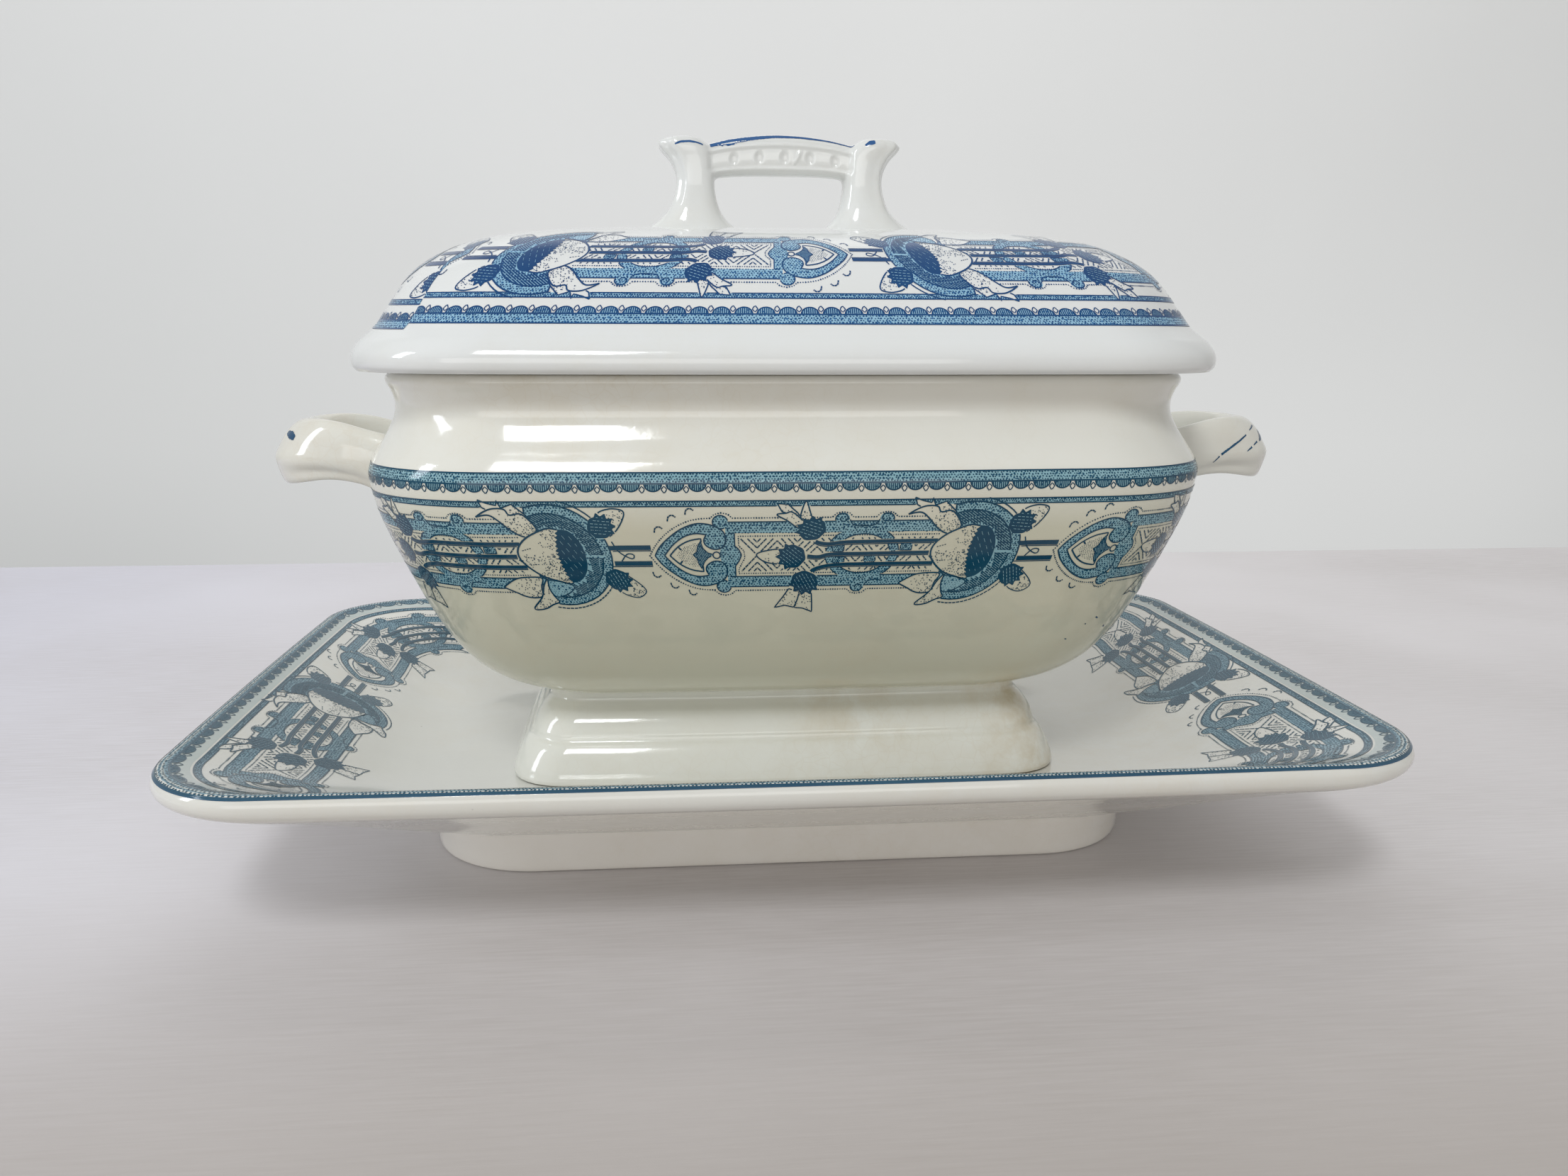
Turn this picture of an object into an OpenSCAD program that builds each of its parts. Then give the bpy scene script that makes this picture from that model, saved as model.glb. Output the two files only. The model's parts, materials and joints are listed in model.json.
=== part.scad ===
// Lidded rectangular soup tureen on its stand: the stand, the bowl with its two side handles, and the lid.
// +Z is up, the origin is on the table under the middle of the stand, and the long side lies along X.

/* [Stand] */
// Length of the stand over its rim
stand_length = 378; // [366:1:390]
// Width of the stand over its rim
stand_width = 262; // [254:1:272]
// Height of the stand's rim above the table
stand_height = 54.2; // [51:0.1:57]
// Corner radius of the stand's rim
stand_corner = 36; // [32:1:40]
// Length of the foot ring under the stand
ring_length = 246; // [238:1:247]
// Width of the foot ring under the stand
ring_width = 124; // [118:1:127]
// Corner radius of the foot ring
ring_corner = 38; // [34:1:42]
// Wall of the foot ring
ring_wall = 8; // [6:0.5:10]

/* [Bowl] */
// Length of the bowl at its widest
bowl_length = 269; // [267:0.5:271]
// Width of the bowl at its widest
bowl_width = 191; // [189:0.5:193]
// Corner radius of the bowl at its widest
bowl_corner = 46; // [43:1:48]
// Height of the bowl from its underside to its rim
bowl_height = 106.3; // [104:0.1:109]
// Height of the pedestal foot under the bowl
foot_height = 29.2; // [27:0.1:31]
// Wall of the pedestal foot
foot_wall = 8; // [6:0.5:9]

/* [Side handles] */
// Reach of a side handle from the middle of the bowl
handle_reach = 177; // [174:0.5:180]
// Distance of each arm's root from the middle of the handle
handle_spread = 23; // [21:0.5:25]
// Height of an arm where it joins the bowl
handle_depth = 21; // [19:0.5:22]

/* [Lid] */
// Length of the lid over its lip
lid_length = 274; // [272:0.5:276]
// Width of the lid over its lip
lid_width = 196; // [194:0.5:198]
// Height of the lid from the underside of its lip to its top
lid_height = 45.2; // [44:0.1:47]
// Depth of the locating flange below the lip
flange_depth = 8; // [5:0.5:10]
// Thickness of the locating flange
flange_wall = 4.5; // [4:0.5:5.5]

/* [Lid handle] */
// Distance between the tips of the two posts
grip_length = 83; // [80:1:86]
// Height of the middle of the bar above the lid
grip_height = 33.1; // [32:0.1:35]
// Thickness of the bar across the lid
grip_thickness = 14; // [12:0.5:16]

/* [Hidden] */
// Gap left between the pieces that only rest on each other
rest_gap = 0.3;
// Radii of the bowed long sides and short sides, for the bowl and lid and for the stand
bowl_bow = [1570, 900];
stand_bow = [9000, 6000];
// Steps along half an end, round a corner and along half a side of an outline
end_steps = 3;
corner_steps = 6;
side_steps = 4;
// Steps between two points of a smoothed section, sides and stations of the handles
section_steps = 2;
grip_sides = 16;
handle_stations = 24;
ring_fn = 96;

// Sections are lists of [distance in from the widest outline, height above the piece's base].
stand_recess = [[80.5, 21.5], [78.5, 21.0], [77.5, 16.0]];
stand_under = [
    [63, 16.0], [57, 18.8], [44, 25.8], [26, 35.2], [12, 42.0], [4, 45.5], [0.9, 47.8], [0, 50.8]
];
stand_upper = [
    [0.9, 53.5], [2.6, 54.2], [6, 53.1], [13, 50.0], [24, 44.7], [38, 37.5], [52, 31.0], [64, 28.1],
    [73, 27.5]
];
bowl_outer = [
    [47, 0.2], [42, 1.8], [34.5, 5.6], [27.5, 11.6], [21, 20.4], [15.3, 31], [11.3, 40], [7.4, 49.5],
    [4.1, 58], [1.8, 65], [0.4, 71.5], [0, 76], [1.2, 80], [3.4, 84], [6, 88.5], [7.9, 93], [8.2, 97],
    [7.2, 100.5], [6.0, 103]
];
bowl_rim = [[5.9, 104.6], [6.9, 105.9], [8.6, 106.3], [10.6, 106.0], [11.7, 104.9]];
bowl_inner = [
    [12.6, 100.5], [13.7, 95.5], [13, 89.5], [9.6, 84], [6.9, 78], [6.5, 71.5], [8.4, 63], [13.2, 50],
    [19, 36.5], [25.5, 23.5], [33, 13], [42, 8.2], [52, 6.4], [60, 6]
];
foot_outer = [
    [0, 0], [0, 1.8], [0.5, 4.2], [1.7, 7.4], [3.3, 10.8], [4.9, 13.0], [6.0, 14.2], [6.6, 16.2],
    [7.9, 19.6], [9.8, 22.6], [11.8, 24.6], [12.8, 26.2], [12.6, 29.2]
];
lid_outer = [
    [1.4, 0], [0.3, 1.4], [0, 3.6], [0.5, 6], [2.4, 9], [4.9, 11.3], [7.3, 13.7], [9.6, 17.2],
    [12.4, 21.8], [15.6, 26.6], [19.8, 31.2], [25.8, 35.4], [33.6, 39.1], [43, 41.8], [54, 43.6],
    [68, 45.2]
];
lid_inner = [
    [69, 39.6], [56, 38.8], [46, 37.4], [35, 34.8], [27, 31.4], [21.6, 27], [18.2, 22], [16.2, 15.4],
    [16.8, 11], [18.5, 7.4]
];
// A post of the lid's handle: [height, inner side, outer side, half its thickness]
grip_post = [
    [0, 12.5, 48.6, 13.4], [2, 15.6, 45, 12.2], [5, 18.8, 41, 11], [9, 21, 37.8, 9.8],
    [15, 22.3, 35.8, 9], [20, 22.3, 35.8, 9], [24.5, 22.6, 37.8, 9.3], [28, 23.6, 41, 9.8],
    [29.8, 25.2, 41.5, 9.6], [31.2, 27.4, 39, 8.6], [31.8, 30, 36, 6]
];

stand_rise = stand_height / 54.2;
bowl_rise = bowl_height / 106.3;
foot_rise = foot_height / 29.2;
lid_rise = lid_height / 45.2;
underside = stand_under[0][1] * stand_rise;
well_height = 27.5 * stand_rise;
foot_base = well_height + rest_gap;
bowl_base = foot_base + foot_height;
lid_base = bowl_base + bowl_height + rest_gap;
lid_top = lid_base + lid_height;
// How far the pedestal foot stands in from the bowl's widest outline, along its length and its width
foot_inset = [40, 37.8];
foot_corner = 18;
foot_neck = 12.6;
flange_inset = 18.5;
flange_top = 7.4 * lid_rise;

// A smooth curve through the points of a section, with the given steps between two points.
function between(p0, p1, p2, p3, t) =
    0.5 * (2 * p1 + (p2 - p0) * t + (2 * p0 - 5 * p1 + 4 * p2 - p3) * t * t
        + (3 * p1 - p0 - 3 * p2 + p3) * t * t * t);
function smooth(points, steps = section_steps) =
    let (last = len(points) - 1)
    concat(
        [for (i = [0:last - 1], k = [0:steps - 1])
            between(points[max(i - 1, 0)], points[i], points[i + 1], points[min(i + 2, last)], k / steps)],
        [points[last]]);

// Centre of the corner arc that touches both the bowed side and the bowed end of an outline.
function corner_centre(a, b, r, bow) =
    let (
        from_side = bow[0] - r,
        from_end = bow[1] - r,
        side_centre = [0, b - bow[0]],
        gap = [a - bow[1], 0] - side_centre,
        d = norm(gap),
        e = gap / d,
        along = (from_side * from_side - from_end * from_end + d * d) / (2 * d),
        across = sqrt(from_side * from_side - along * along))
    side_centre + along * e + across * [e.y, -e.x];

function on_arc(centre, radius, angle) = centre + radius * [cos(angle), sin(angle)];

// One quarter of an outline, from the middle of the end to the middle of the side.
function quarter(a, b, r, bow) =
    let (
        c = corner_centre(a, b, r, bow),
        end_centre = [a - bow[1], 0],
        side_centre = [0, b - bow[0]],
        end_angle = atan2(c.y, c.x - end_centre.x),
        side_angle = atan2(c.y - side_centre.y, c.x),
        turn = side_angle - end_angle,
        rest = 90 - side_angle)
    concat(
        [for (i = [0:end_steps - 1]) on_arc(end_centre, bow[1], end_angle * i / end_steps)],
        [for (i = [0:corner_steps - 1]) on_arc(c, r, end_angle + turn * i / corner_steps)],
        [for (i = [0:side_steps]) on_arc(side_centre, bow[0], side_angle + rest * i / side_steps)]);

// A closed outline of half-length a and half-width b at height z.
function outline(a, b, r, bow, z) =
    let (q = quarter(a, b, r, bow), m = len(q) - 1)
    concat(
        [for (i = [0:m - 1]) [q[i].x, q[i].y, z]],
        [for (i = [m:-1:1]) [-q[i].x, q[i].y, z]],
        [for (i = [0:m - 1]) [-q[i].x, -q[i].y, z]],
        [for (i = [m:-1:1]) [q[i].x, -q[i].y, z]]);

// One outline for each point of a section. The corner tightens by the given part of the distance in.
function rings(section, half, corner, tighten, bow, base, rise) =
    [for (p = section)
        outline(half[0] - p[0], half[1] - p[0], corner - tighten * p[0], bow, base + p[1] * rise)];

function stand_rings(section) =
    rings(section, [stand_length, stand_width] / 2, stand_corner, 0, stand_bow, 0, stand_rise);
function bowl_rings(section) =
    rings(section, [bowl_length, bowl_width] / 2, bowl_corner, 0.35, bowl_bow, bowl_base, bowl_rise);
function foot_rings(section) =
    rings(section, [bowl_length, bowl_width] / 2 - foot_inset, foot_corner, 0.3, bowl_bow, foot_base,
        foot_rise);
function lid_rings(section) =
    rings(section, [lid_length, lid_width] / 2, bowl_corner, 0.35, bowl_bow, lid_base, lid_rise);

// Skins a list of equal rings. A closed skin joins the last ring to the first, an open one has flat ends.
module skin(list, closed = false) {
    n = len(list[0]);
    count = len(list);
    spans = closed ? count : count - 1;
    walls = [
        for (i = [0:spans - 1], k = [0:n - 1])
            let (
                a = i * n + k,
                b = i * n + (k + 1) % n,
                c = (i + 1) % count * n + (k + 1) % n,
                d = (i + 1) % count * n + k)
            each [[a, c, b], [a, d, c]]
    ];
    ends = closed ? [] : [
        [for (k = [0:n - 1]) k],
        [for (k = [n - 1:-1:0]) (count - 1) * n + k]
    ];
    polyhedron(points = [for (r = list) each r], faces = concat(walls, ends), convexity = 8);
}

// Stand

module stand_dish() {
    color("ghostwhite")
        skin(concat(stand_rings(stand_recess), stand_rings(smooth(concat(stand_under, stand_upper)))));
}

module ring_plate(inset) {
    straight = [ring_length, ring_width] - 2 * ring_corner * [1, 1];
    square([straight.x, ring_width - 2 * inset], center = true);
    square([ring_length - 2 * inset, straight.y], center = true);
    for (x = [-1, 1], y = [-1, 1])
        translate([x * straight.x, y * straight.y] / 2)
            circle(r = ring_corner - inset, $fn = ring_fn);
}

module stand_foot_ring() {
    color("ghostwhite")
        linear_extrude(height = underside)
            difference() {
                ring_plate(0);
                ring_plate(ring_wall);
            }
}

// Bowl

function bowl_outside() = bowl_rings(concat([[48.5, 0]], bowl_outer));

module bowl() {
    color("ivory")
        skin(concat(bowl_outside(), bowl_rings(bowl_rim), bowl_rings(bowl_inner)));
}

module bowl_foot() {
    inside = [[foot_wall + foot_neck, foot_height / foot_rise], [foot_wall, 0]];
    color("ivory")
        skin(foot_rings(concat(foot_outer, inside)), closed = true);
}

// The handle on the +X end: two arms leave the bowl, rise, and join in a drooping tip.
// Station t runs from -90 at the front root, through 0 at the tip, to 90 at the back root.
module side_handle() {
    root_x = bowl_length / 2 - 8;
    tip_x = handle_reach - 9.9;
    root_z = bowl_base + 71.5;
    function section_at(t) =
        let (
            out = pow(cos(t), 0.75),
            facing = [handle_spread * cos(t), (tip_x - root_x) * sin(t)] / norm(
                [handle_spread * cos(t), (tip_x - root_x) * sin(t)]),
            lean = 40 * pow(out, 4),
            centre = [
                root_x + (tip_x - root_x) * out,
                handle_spread * sin(t),
                root_z + 7.4 * sin(90 * min(1, 1.2 * out))
            ],
            thick = 3.6 + 3.4 * pow(out, 4),
            tall = handle_depth / 2 + 2.2 * pow(out, 4),
            flat = [facing.x * cos(lean), facing.y * cos(lean), sin(lean)],
            up = [-facing.x * sin(lean), -facing.y * sin(lean), cos(lean)])
        [for (k = [0:grip_sides - 1])
            let (w = 360 * k / grip_sides)
            centre + thick * cos(w) * flat + tall * sin(w) * up];
    difference() {
        skin([for (i = [0:handle_stations]) section_at(-89 + 178 * i / handle_stations)]);
        skin(bowl_outside());
    }
}

module handle_left() {
    color("linen")
        mirror([1, 0, 0])
            side_handle();
}

module handle_right() {
    color("linen")
        side_handle();
}

// Lid

module lid_cover() {
    color("white")
        skin(lid_rings(concat(lid_inner, [[flange_inset, 0]], lid_outer)));
}

module lid_flange() {
    inner = flange_inset + flange_wall;
    ease = 1;
    section = [
        [flange_inset + ease, -flange_depth], [flange_inset, ease - flange_depth],
        [flange_inset, flange_top], [inner, flange_top], [inner, ease - flange_depth],
        [inner - ease, -flange_depth]
    ];
    color("white")
        skin(
            rings(section, [lid_length, lid_width] / 2, bowl_corner, 0.35, bowl_bow, lid_base, 1),
            closed = true);
}

// Lid handle

// A section with flattened sides, of half-widths p and q.
function squared(p, q, k) =
    let (w = 360 * k / grip_sides)
    [p * sign(cos(w)) * pow(abs(cos(w)), 0.7), q * sign(sin(w)) * pow(abs(sin(w)), 0.7)];

module grip_post(side) {
    stretch = grip_length / 83;
    skin([
        for (s = smooth(grip_post))
            [for (k = [0:grip_sides - 1])
                let (c = squared((s[2] - s[1]) / 2, s[3], k))
                [(side * (s[1] + s[2]) / 2 + c.x) * stretch, c.y, lid_top + s[0] * grip_height / 33.1]]
    ]);
}

// The bar arches between the posts and is deeper at its ends.
module grip_bar() {
    half_span = 29 * grip_length / 83;
    stations = 12;
    skin([
        for (i = [0:stations])
            let (
                part = 2 * i / stations - 1,
                top = grip_height - 4.4 * part * part,
                under = grip_height - 13.6 - 2.6 * pow(part, 4))
            [for (k = [0:grip_sides - 1])
                let (c = squared(grip_thickness / 2, (top - under) / 2, k))
                [half_span * part, c.x, lid_top + (top + under) / 2 + c.y]]
    ]);
}

module lid_handle() {
    color("white")
        union() {
            grip_post(-1);
            grip_post(1);
            grip_bar();
        }
}

stand_dish();
stand_foot_ring();
bowl();
bowl_foot();
handle_left();
handle_right();
lid_cover();
lid_flange();
lid_handle();
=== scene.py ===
"""A lidded soup tureen on its stand: glazed earthenware with a printed blue border.

Sizes inside this script are in millimetres and become metres when a mesh is made.
+X runs along the object, -Y is its front and +Z is up.
"""

import json
import math

import bpy
import numpy as np
from mathutils import Matrix, Vector
from mathutils.bvhtree import BVHTree
from mathutils.geometry import delaunay_2d_cdt

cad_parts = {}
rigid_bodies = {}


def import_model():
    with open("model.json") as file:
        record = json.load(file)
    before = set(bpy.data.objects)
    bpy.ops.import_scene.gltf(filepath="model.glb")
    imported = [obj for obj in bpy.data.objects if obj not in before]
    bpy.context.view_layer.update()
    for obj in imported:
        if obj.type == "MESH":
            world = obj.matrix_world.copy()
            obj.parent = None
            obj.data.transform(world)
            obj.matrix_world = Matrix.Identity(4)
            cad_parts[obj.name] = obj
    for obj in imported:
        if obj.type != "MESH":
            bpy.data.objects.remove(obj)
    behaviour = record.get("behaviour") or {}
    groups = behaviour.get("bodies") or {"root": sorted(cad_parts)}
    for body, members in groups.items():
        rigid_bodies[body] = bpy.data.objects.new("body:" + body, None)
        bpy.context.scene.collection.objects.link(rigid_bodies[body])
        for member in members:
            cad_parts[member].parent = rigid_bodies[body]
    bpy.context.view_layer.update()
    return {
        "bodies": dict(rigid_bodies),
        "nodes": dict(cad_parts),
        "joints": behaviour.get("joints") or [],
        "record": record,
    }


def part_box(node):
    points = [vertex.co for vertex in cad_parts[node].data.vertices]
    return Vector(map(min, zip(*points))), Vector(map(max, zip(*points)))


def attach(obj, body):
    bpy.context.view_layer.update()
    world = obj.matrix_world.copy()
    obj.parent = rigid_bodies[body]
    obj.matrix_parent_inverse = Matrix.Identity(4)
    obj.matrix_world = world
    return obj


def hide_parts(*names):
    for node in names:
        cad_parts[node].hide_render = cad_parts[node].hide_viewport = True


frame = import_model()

MM = 0.001


# ---------------------------------------------------------------- sizes, read from the frame

def node_box(name):
    """Lowest and highest corner of a CAD node, in millimetres."""
    low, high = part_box(name)
    return np.array(low) / MM, np.array(high) / MM


def half_sizes(name):
    """Half the length and half the width of a CAD node."""
    low, high = node_box(name)
    return (high - low)[:2] / 2


STAND_HIGH = node_box("stand_dish")[1]
RING_LOW, RING_HIGH = node_box("stand_foot_ring")
BOWL_LOW, BOWL_HIGH = node_box("bowl")
FOOT_LOW, FOOT_HIGH = node_box("bowl_foot")
LID_HIGH = node_box("lid_cover")[1]
FLANGE_LOW, FLANGE_HIGH = node_box("lid_flange")
SIDE_HIGH = node_box("handle_right")[1]

# Radii of the bowed long sides and short sides
BOWL_BOW = (1570, 900)
STAND_BOW = (9000, 6000)
STAND_CORNER = 36
BOWL_CORNER = 46
FOOT_CORNER = 18
# How much a corner tightens for each millimetre in from the widest outline
BOWL_TIGHTEN = 0.35
FOOT_TIGHTEN = 0.3
# The stand's print tightens round the corners, where the dish itself keeps one radius
STAND_PRINT_TIGHTEN = 0.45

# Sections are lists of (distance in from the widest outline, height above the piece's base).
STAND_RECESS = [(80.5, 21.5), (78.5, 21), (77.5, 16)]
STAND_SECTION = [
    (67, 16), (63.5, 16.3), (60.5, 17.3), (57, 19.2), (44, 25.8), (26, 35.2), (12, 42), (4, 45.5),
    (0.9, 47.8), (0, 50.8), (0.9, 53.5), (2.6, 54.2), (6, 53.1), (13, 50), (24, 44.7), (38, 37.5), (52, 31),
    (64, 28.1), (73, 27.5),
]
BOWL_OUTSIDE = [
    (48.5, 0), (47, 0.2), (42, 1.8), (34.5, 5.6), (27.5, 11.6), (21, 20.4), (15.3, 31), (11.3, 40),
    (7.4, 49.5), (4.1, 58), (1.8, 65), (0.4, 71.5), (0, 76), (1.2, 80), (3.4, 84), (6, 88.5), (7.9, 93),
    (8.2, 97), (7.2, 100.5), (6, 103),
]
BOWL_INSIDE = [
    (5.9, 104.6), (6.9, 105.9), (8.6, 106.3), (10.6, 106), (11.7, 104.9), (12.6, 100.5), (13.7, 95.5),
    (13, 89.5), (9.6, 84), (6.9, 78), (6.5, 71.5), (8.4, 63), (13.2, 50), (19, 36.5), (25.5, 23.5), (33, 13),
    (42, 8.2), (52, 6.4), (60, 6),
]
FOOT_OUTSIDE = [
    (0.8, 0), (0.2, 0.4), (0, 1.2), (0, 2), (0.5, 4.2), (1.7, 7.4), (3.2, 10.6), (4.6, 12.6), (5.7, 13.6),
    (6.1, 14.6), (6.5, 16.2), (7.8, 19.6), (9.8, 22.6), (11.8, 24.7), (12.8, 26.4), (12.6, 29.4),
]
LID_OUTSIDE = [
    (1.4, 0), (0.3, 1.4), (0, 3.6), (0.5, 6), (2.4, 9), (4.9, 11.3), (7.3, 13.7), (9.6, 17.2), (12.4, 21.8),
    (15.6, 26.6), (19.8, 31.2), (25.8, 35.4), (33.6, 39.1), (43, 41.8), (54, 43.6), (68, 45.2),
]
LID_INSIDE = [
    (69, 39.6), (56, 38.8), (46, 37.4), (35, 34.8), (27, 31.4), (21.6, 27), (18.2, 22), (16.2, 15.4),
    (16.8, 11), (18.5, 7.4), (18.5, 0.6), (17.9, 0),
]
FLANGE_INSET = 18.5
FLANGE_WALL = 4.5
RING_WALL = 8
RING_CORNER = 38

# Steps between two points of a section, and steps along half an end, a corner and half a side
SECTION_STEPS = 8
COLUMN_STEPS = (14, 26, 22)
# Sizes of the smaller and smaller rings that close the end of a skin
CAP_SIZES = (0.82, 0.62, 0.4, 0.2, 0.04)


# ---------------------------------------------------------------- curves and bowed outlines

def smooth(points, steps, closed=False):
    """A Catmull-Rom curve through the points, with the given steps between two of them."""
    p = np.array(points, float)
    last = len(p) - 1
    spans = last + 1 if closed else last
    part = (np.arange(steps) / steps)[:, None]
    out = []
    for i in range(spans):
        if closed:
            p0, p1, p2, p3 = (p[(i + k) % (last + 1)] for k in (-1, 0, 1, 2))
        else:
            p0, p1, p2, p3 = (p[min(max(i + k, 0), last)] for k in (-1, 0, 1, 2))
        out.append(0.5 * (2 * p1 + (p2 - p0) * part + (2 * p0 - 5 * p1 + 4 * p2 - p3) * part ** 2
                          + (3 * p1 - p0 - 3 * p2 + p3) * part ** 3))
    if not closed:
        out.append(p[-1:])
    return np.concatenate(out)


def lengths_along(path):
    """Length along a path from its first point to each of its points."""
    return np.concatenate([[0], np.cumsum(np.hypot.reduce(np.diff(path, axis=0), axis=1))])


def points_at(path, lengths, at):
    """Points of a path at given lengths along it."""
    return np.column_stack([np.interp(at, lengths, values) for values in path.T])


def bowed_outline(half_x, half_y, corner, bow, zone):
    """Points of an outline of four bowed sides and round corners.

    zone runs from 0 to 12: each quadrant has one unit for half an end, one for the corner and one for half
    a side. 0 is the middle of the right end, 3 of the back, 6 of the left end and 9 of the front.
    """
    zone = np.mod(zone, 12)
    quadrant = np.floor(zone / 3).astype(int)
    part = zone - 3 * quadrant
    part = np.where(quadrant % 2 == 1, 3 - part, part)
    side_centre = half_y - bow[0]
    end_centre = half_x - bow[1]
    gap = np.hypot(end_centre, side_centre)
    along_x = end_centre / gap
    along_y = -side_centre / gap
    from_side = bow[0] - corner
    from_end = bow[1] - corner
    along = (from_side ** 2 - from_end ** 2 + gap ** 2) / (2 * gap)
    across = np.sqrt(from_side ** 2 - along ** 2)
    corner_x = along * along_x + across * along_y
    corner_y = side_centre + along * along_y - across * along_x
    end_angle = np.arctan2(corner_y, corner_x - end_centre)
    side_angle = np.arctan2(corner_y - side_centre, corner_x)
    angle = np.where(
        part < 1, end_angle * part,
        np.where(part < 2, end_angle + (side_angle - end_angle) * (part - 1),
                 side_angle + (math.pi / 2 - side_angle) * (part - 2)))
    origin_x = np.where(part < 1, end_centre, np.where(part < 2, corner_x, 0))
    origin_y = np.where(part < 1, 0, np.where(part < 2, corner_y, side_centre))
    radius = np.where(part < 1, bow[1], np.where(part < 2, corner, bow[0]))
    x = origin_x + radius * np.cos(angle)
    y = origin_y + radius * np.sin(angle)
    flip_x = np.where((quadrant == 1) | (quadrant == 2), -1, 1)
    flip_y = np.where(quadrant >= 2, -1, 1)
    return x * flip_x, y * flip_y


def column_zones():
    """The zone of each column of a mesh, closer together round the corners."""
    end, corner, side = COLUMN_STEPS
    quarter = np.concatenate([
        np.arange(end) / end, 1 + np.arange(corner) / corner, 2 + np.arange(side) / side])
    mirrored = 6 - np.concatenate([[3], quarter[:0:-1]])
    half = np.concatenate([quarter, mirrored])
    return np.concatenate([half, 6 + half])


class Skin:
    """A surface whose outlines follow a section, such as the outside of the bowl."""

    def __init__(self, section, half, corner, tighten, bow, base, steps=SECTION_STEPS):
        self.rows = smooth(section, steps)
        self.half = half
        self.corner = corner
        self.tighten = tighten
        self.bow = bow
        self.base = base
        self.lengths = lengths_along(self.rows)

    def ring(self, inset, height, zone):
        x, y = bowed_outline(self.half[0] - inset, self.half[1] - inset,
                             self.corner - self.tighten * inset, self.bow, zone)
        return np.stack([x, y, self.base + height + 0 * x], -1)

    def grid(self):
        """All points of the surface, one row for each point of the section."""
        zones = column_zones()
        return np.array([self.ring(inset, height, zones) for inset, height in self.rows])

    def at(self, zone, along):
        """The point at a zone and a length along the section from its first point."""
        inset = np.interp(along, self.lengths, self.rows[:, 0])
        height = np.interp(along, self.lengths, self.rows[:, 1])
        return self.ring(inset, height, zone)


# ---------------------------------------------------------------- meshes

def new_object(name, data):
    """An object in the scene."""
    thing = bpy.data.objects.new(name, data)
    bpy.context.scene.collection.objects.link(thing)
    return thing


def make_mesh(name, points, faces, body, material):
    """A piece from points in millimetres."""
    mesh = bpy.data.meshes.new(name)
    mesh.from_pydata((np.asarray(points) * MM).tolist(), [], faces)
    mesh.validate()
    mesh.shade_smooth()
    mesh.materials.append(material)
    piece = new_object(name, mesh)
    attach(piece, body)
    return piece


def grid_faces(rows, columns, closed_rows=False):
    """Quads of a grid whose columns close on themselves."""
    spans = rows if closed_rows else rows - 1
    return [
        (i * columns + k, i * columns + (k + 1) % columns,
         (i + 1) % rows * columns + (k + 1) % columns, (i + 1) % rows * columns + k)
        for i in range(spans) for k in range(columns)
    ]


def cap_rows(row, rise=0.0):
    """Smaller and smaller copies of a row that close it with a gentle dome of the given rise."""
    centre = row.mean(0)
    return [centre + (row - centre) * size + [0, 0, rise * (1 - size ** 2)] for size in CAP_SIZES]


def capped_faces(rows, columns):
    """Quads of a grid of rings, and one face over each end."""
    ends = [tuple(range(columns - 1, -1, -1)), tuple(range((rows - 1) * columns, rows * columns))]
    return grid_faces(rows, columns) + ends


def closed_skin(name, grid, body, material, rise=0.0):
    """A closed piece from rows of points. Its first end closes flat and its last end with the given rise."""
    rows = [*reversed(cap_rows(grid[0])), *grid, *cap_rows(grid[-1], rise)]
    faces = capped_faces(len(rows), len(rows[0]))
    return make_mesh(name, np.concatenate(rows), faces, body, material)


def tube_skin(name, grid, body, material):
    """A closed band: the last row joins the first."""
    faces = grid_faces(len(grid), len(grid[0]), closed_rows=True)
    return make_mesh(name, np.concatenate(grid), faces, body, material)


# ---------------------------------------------------------------- materials

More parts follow.
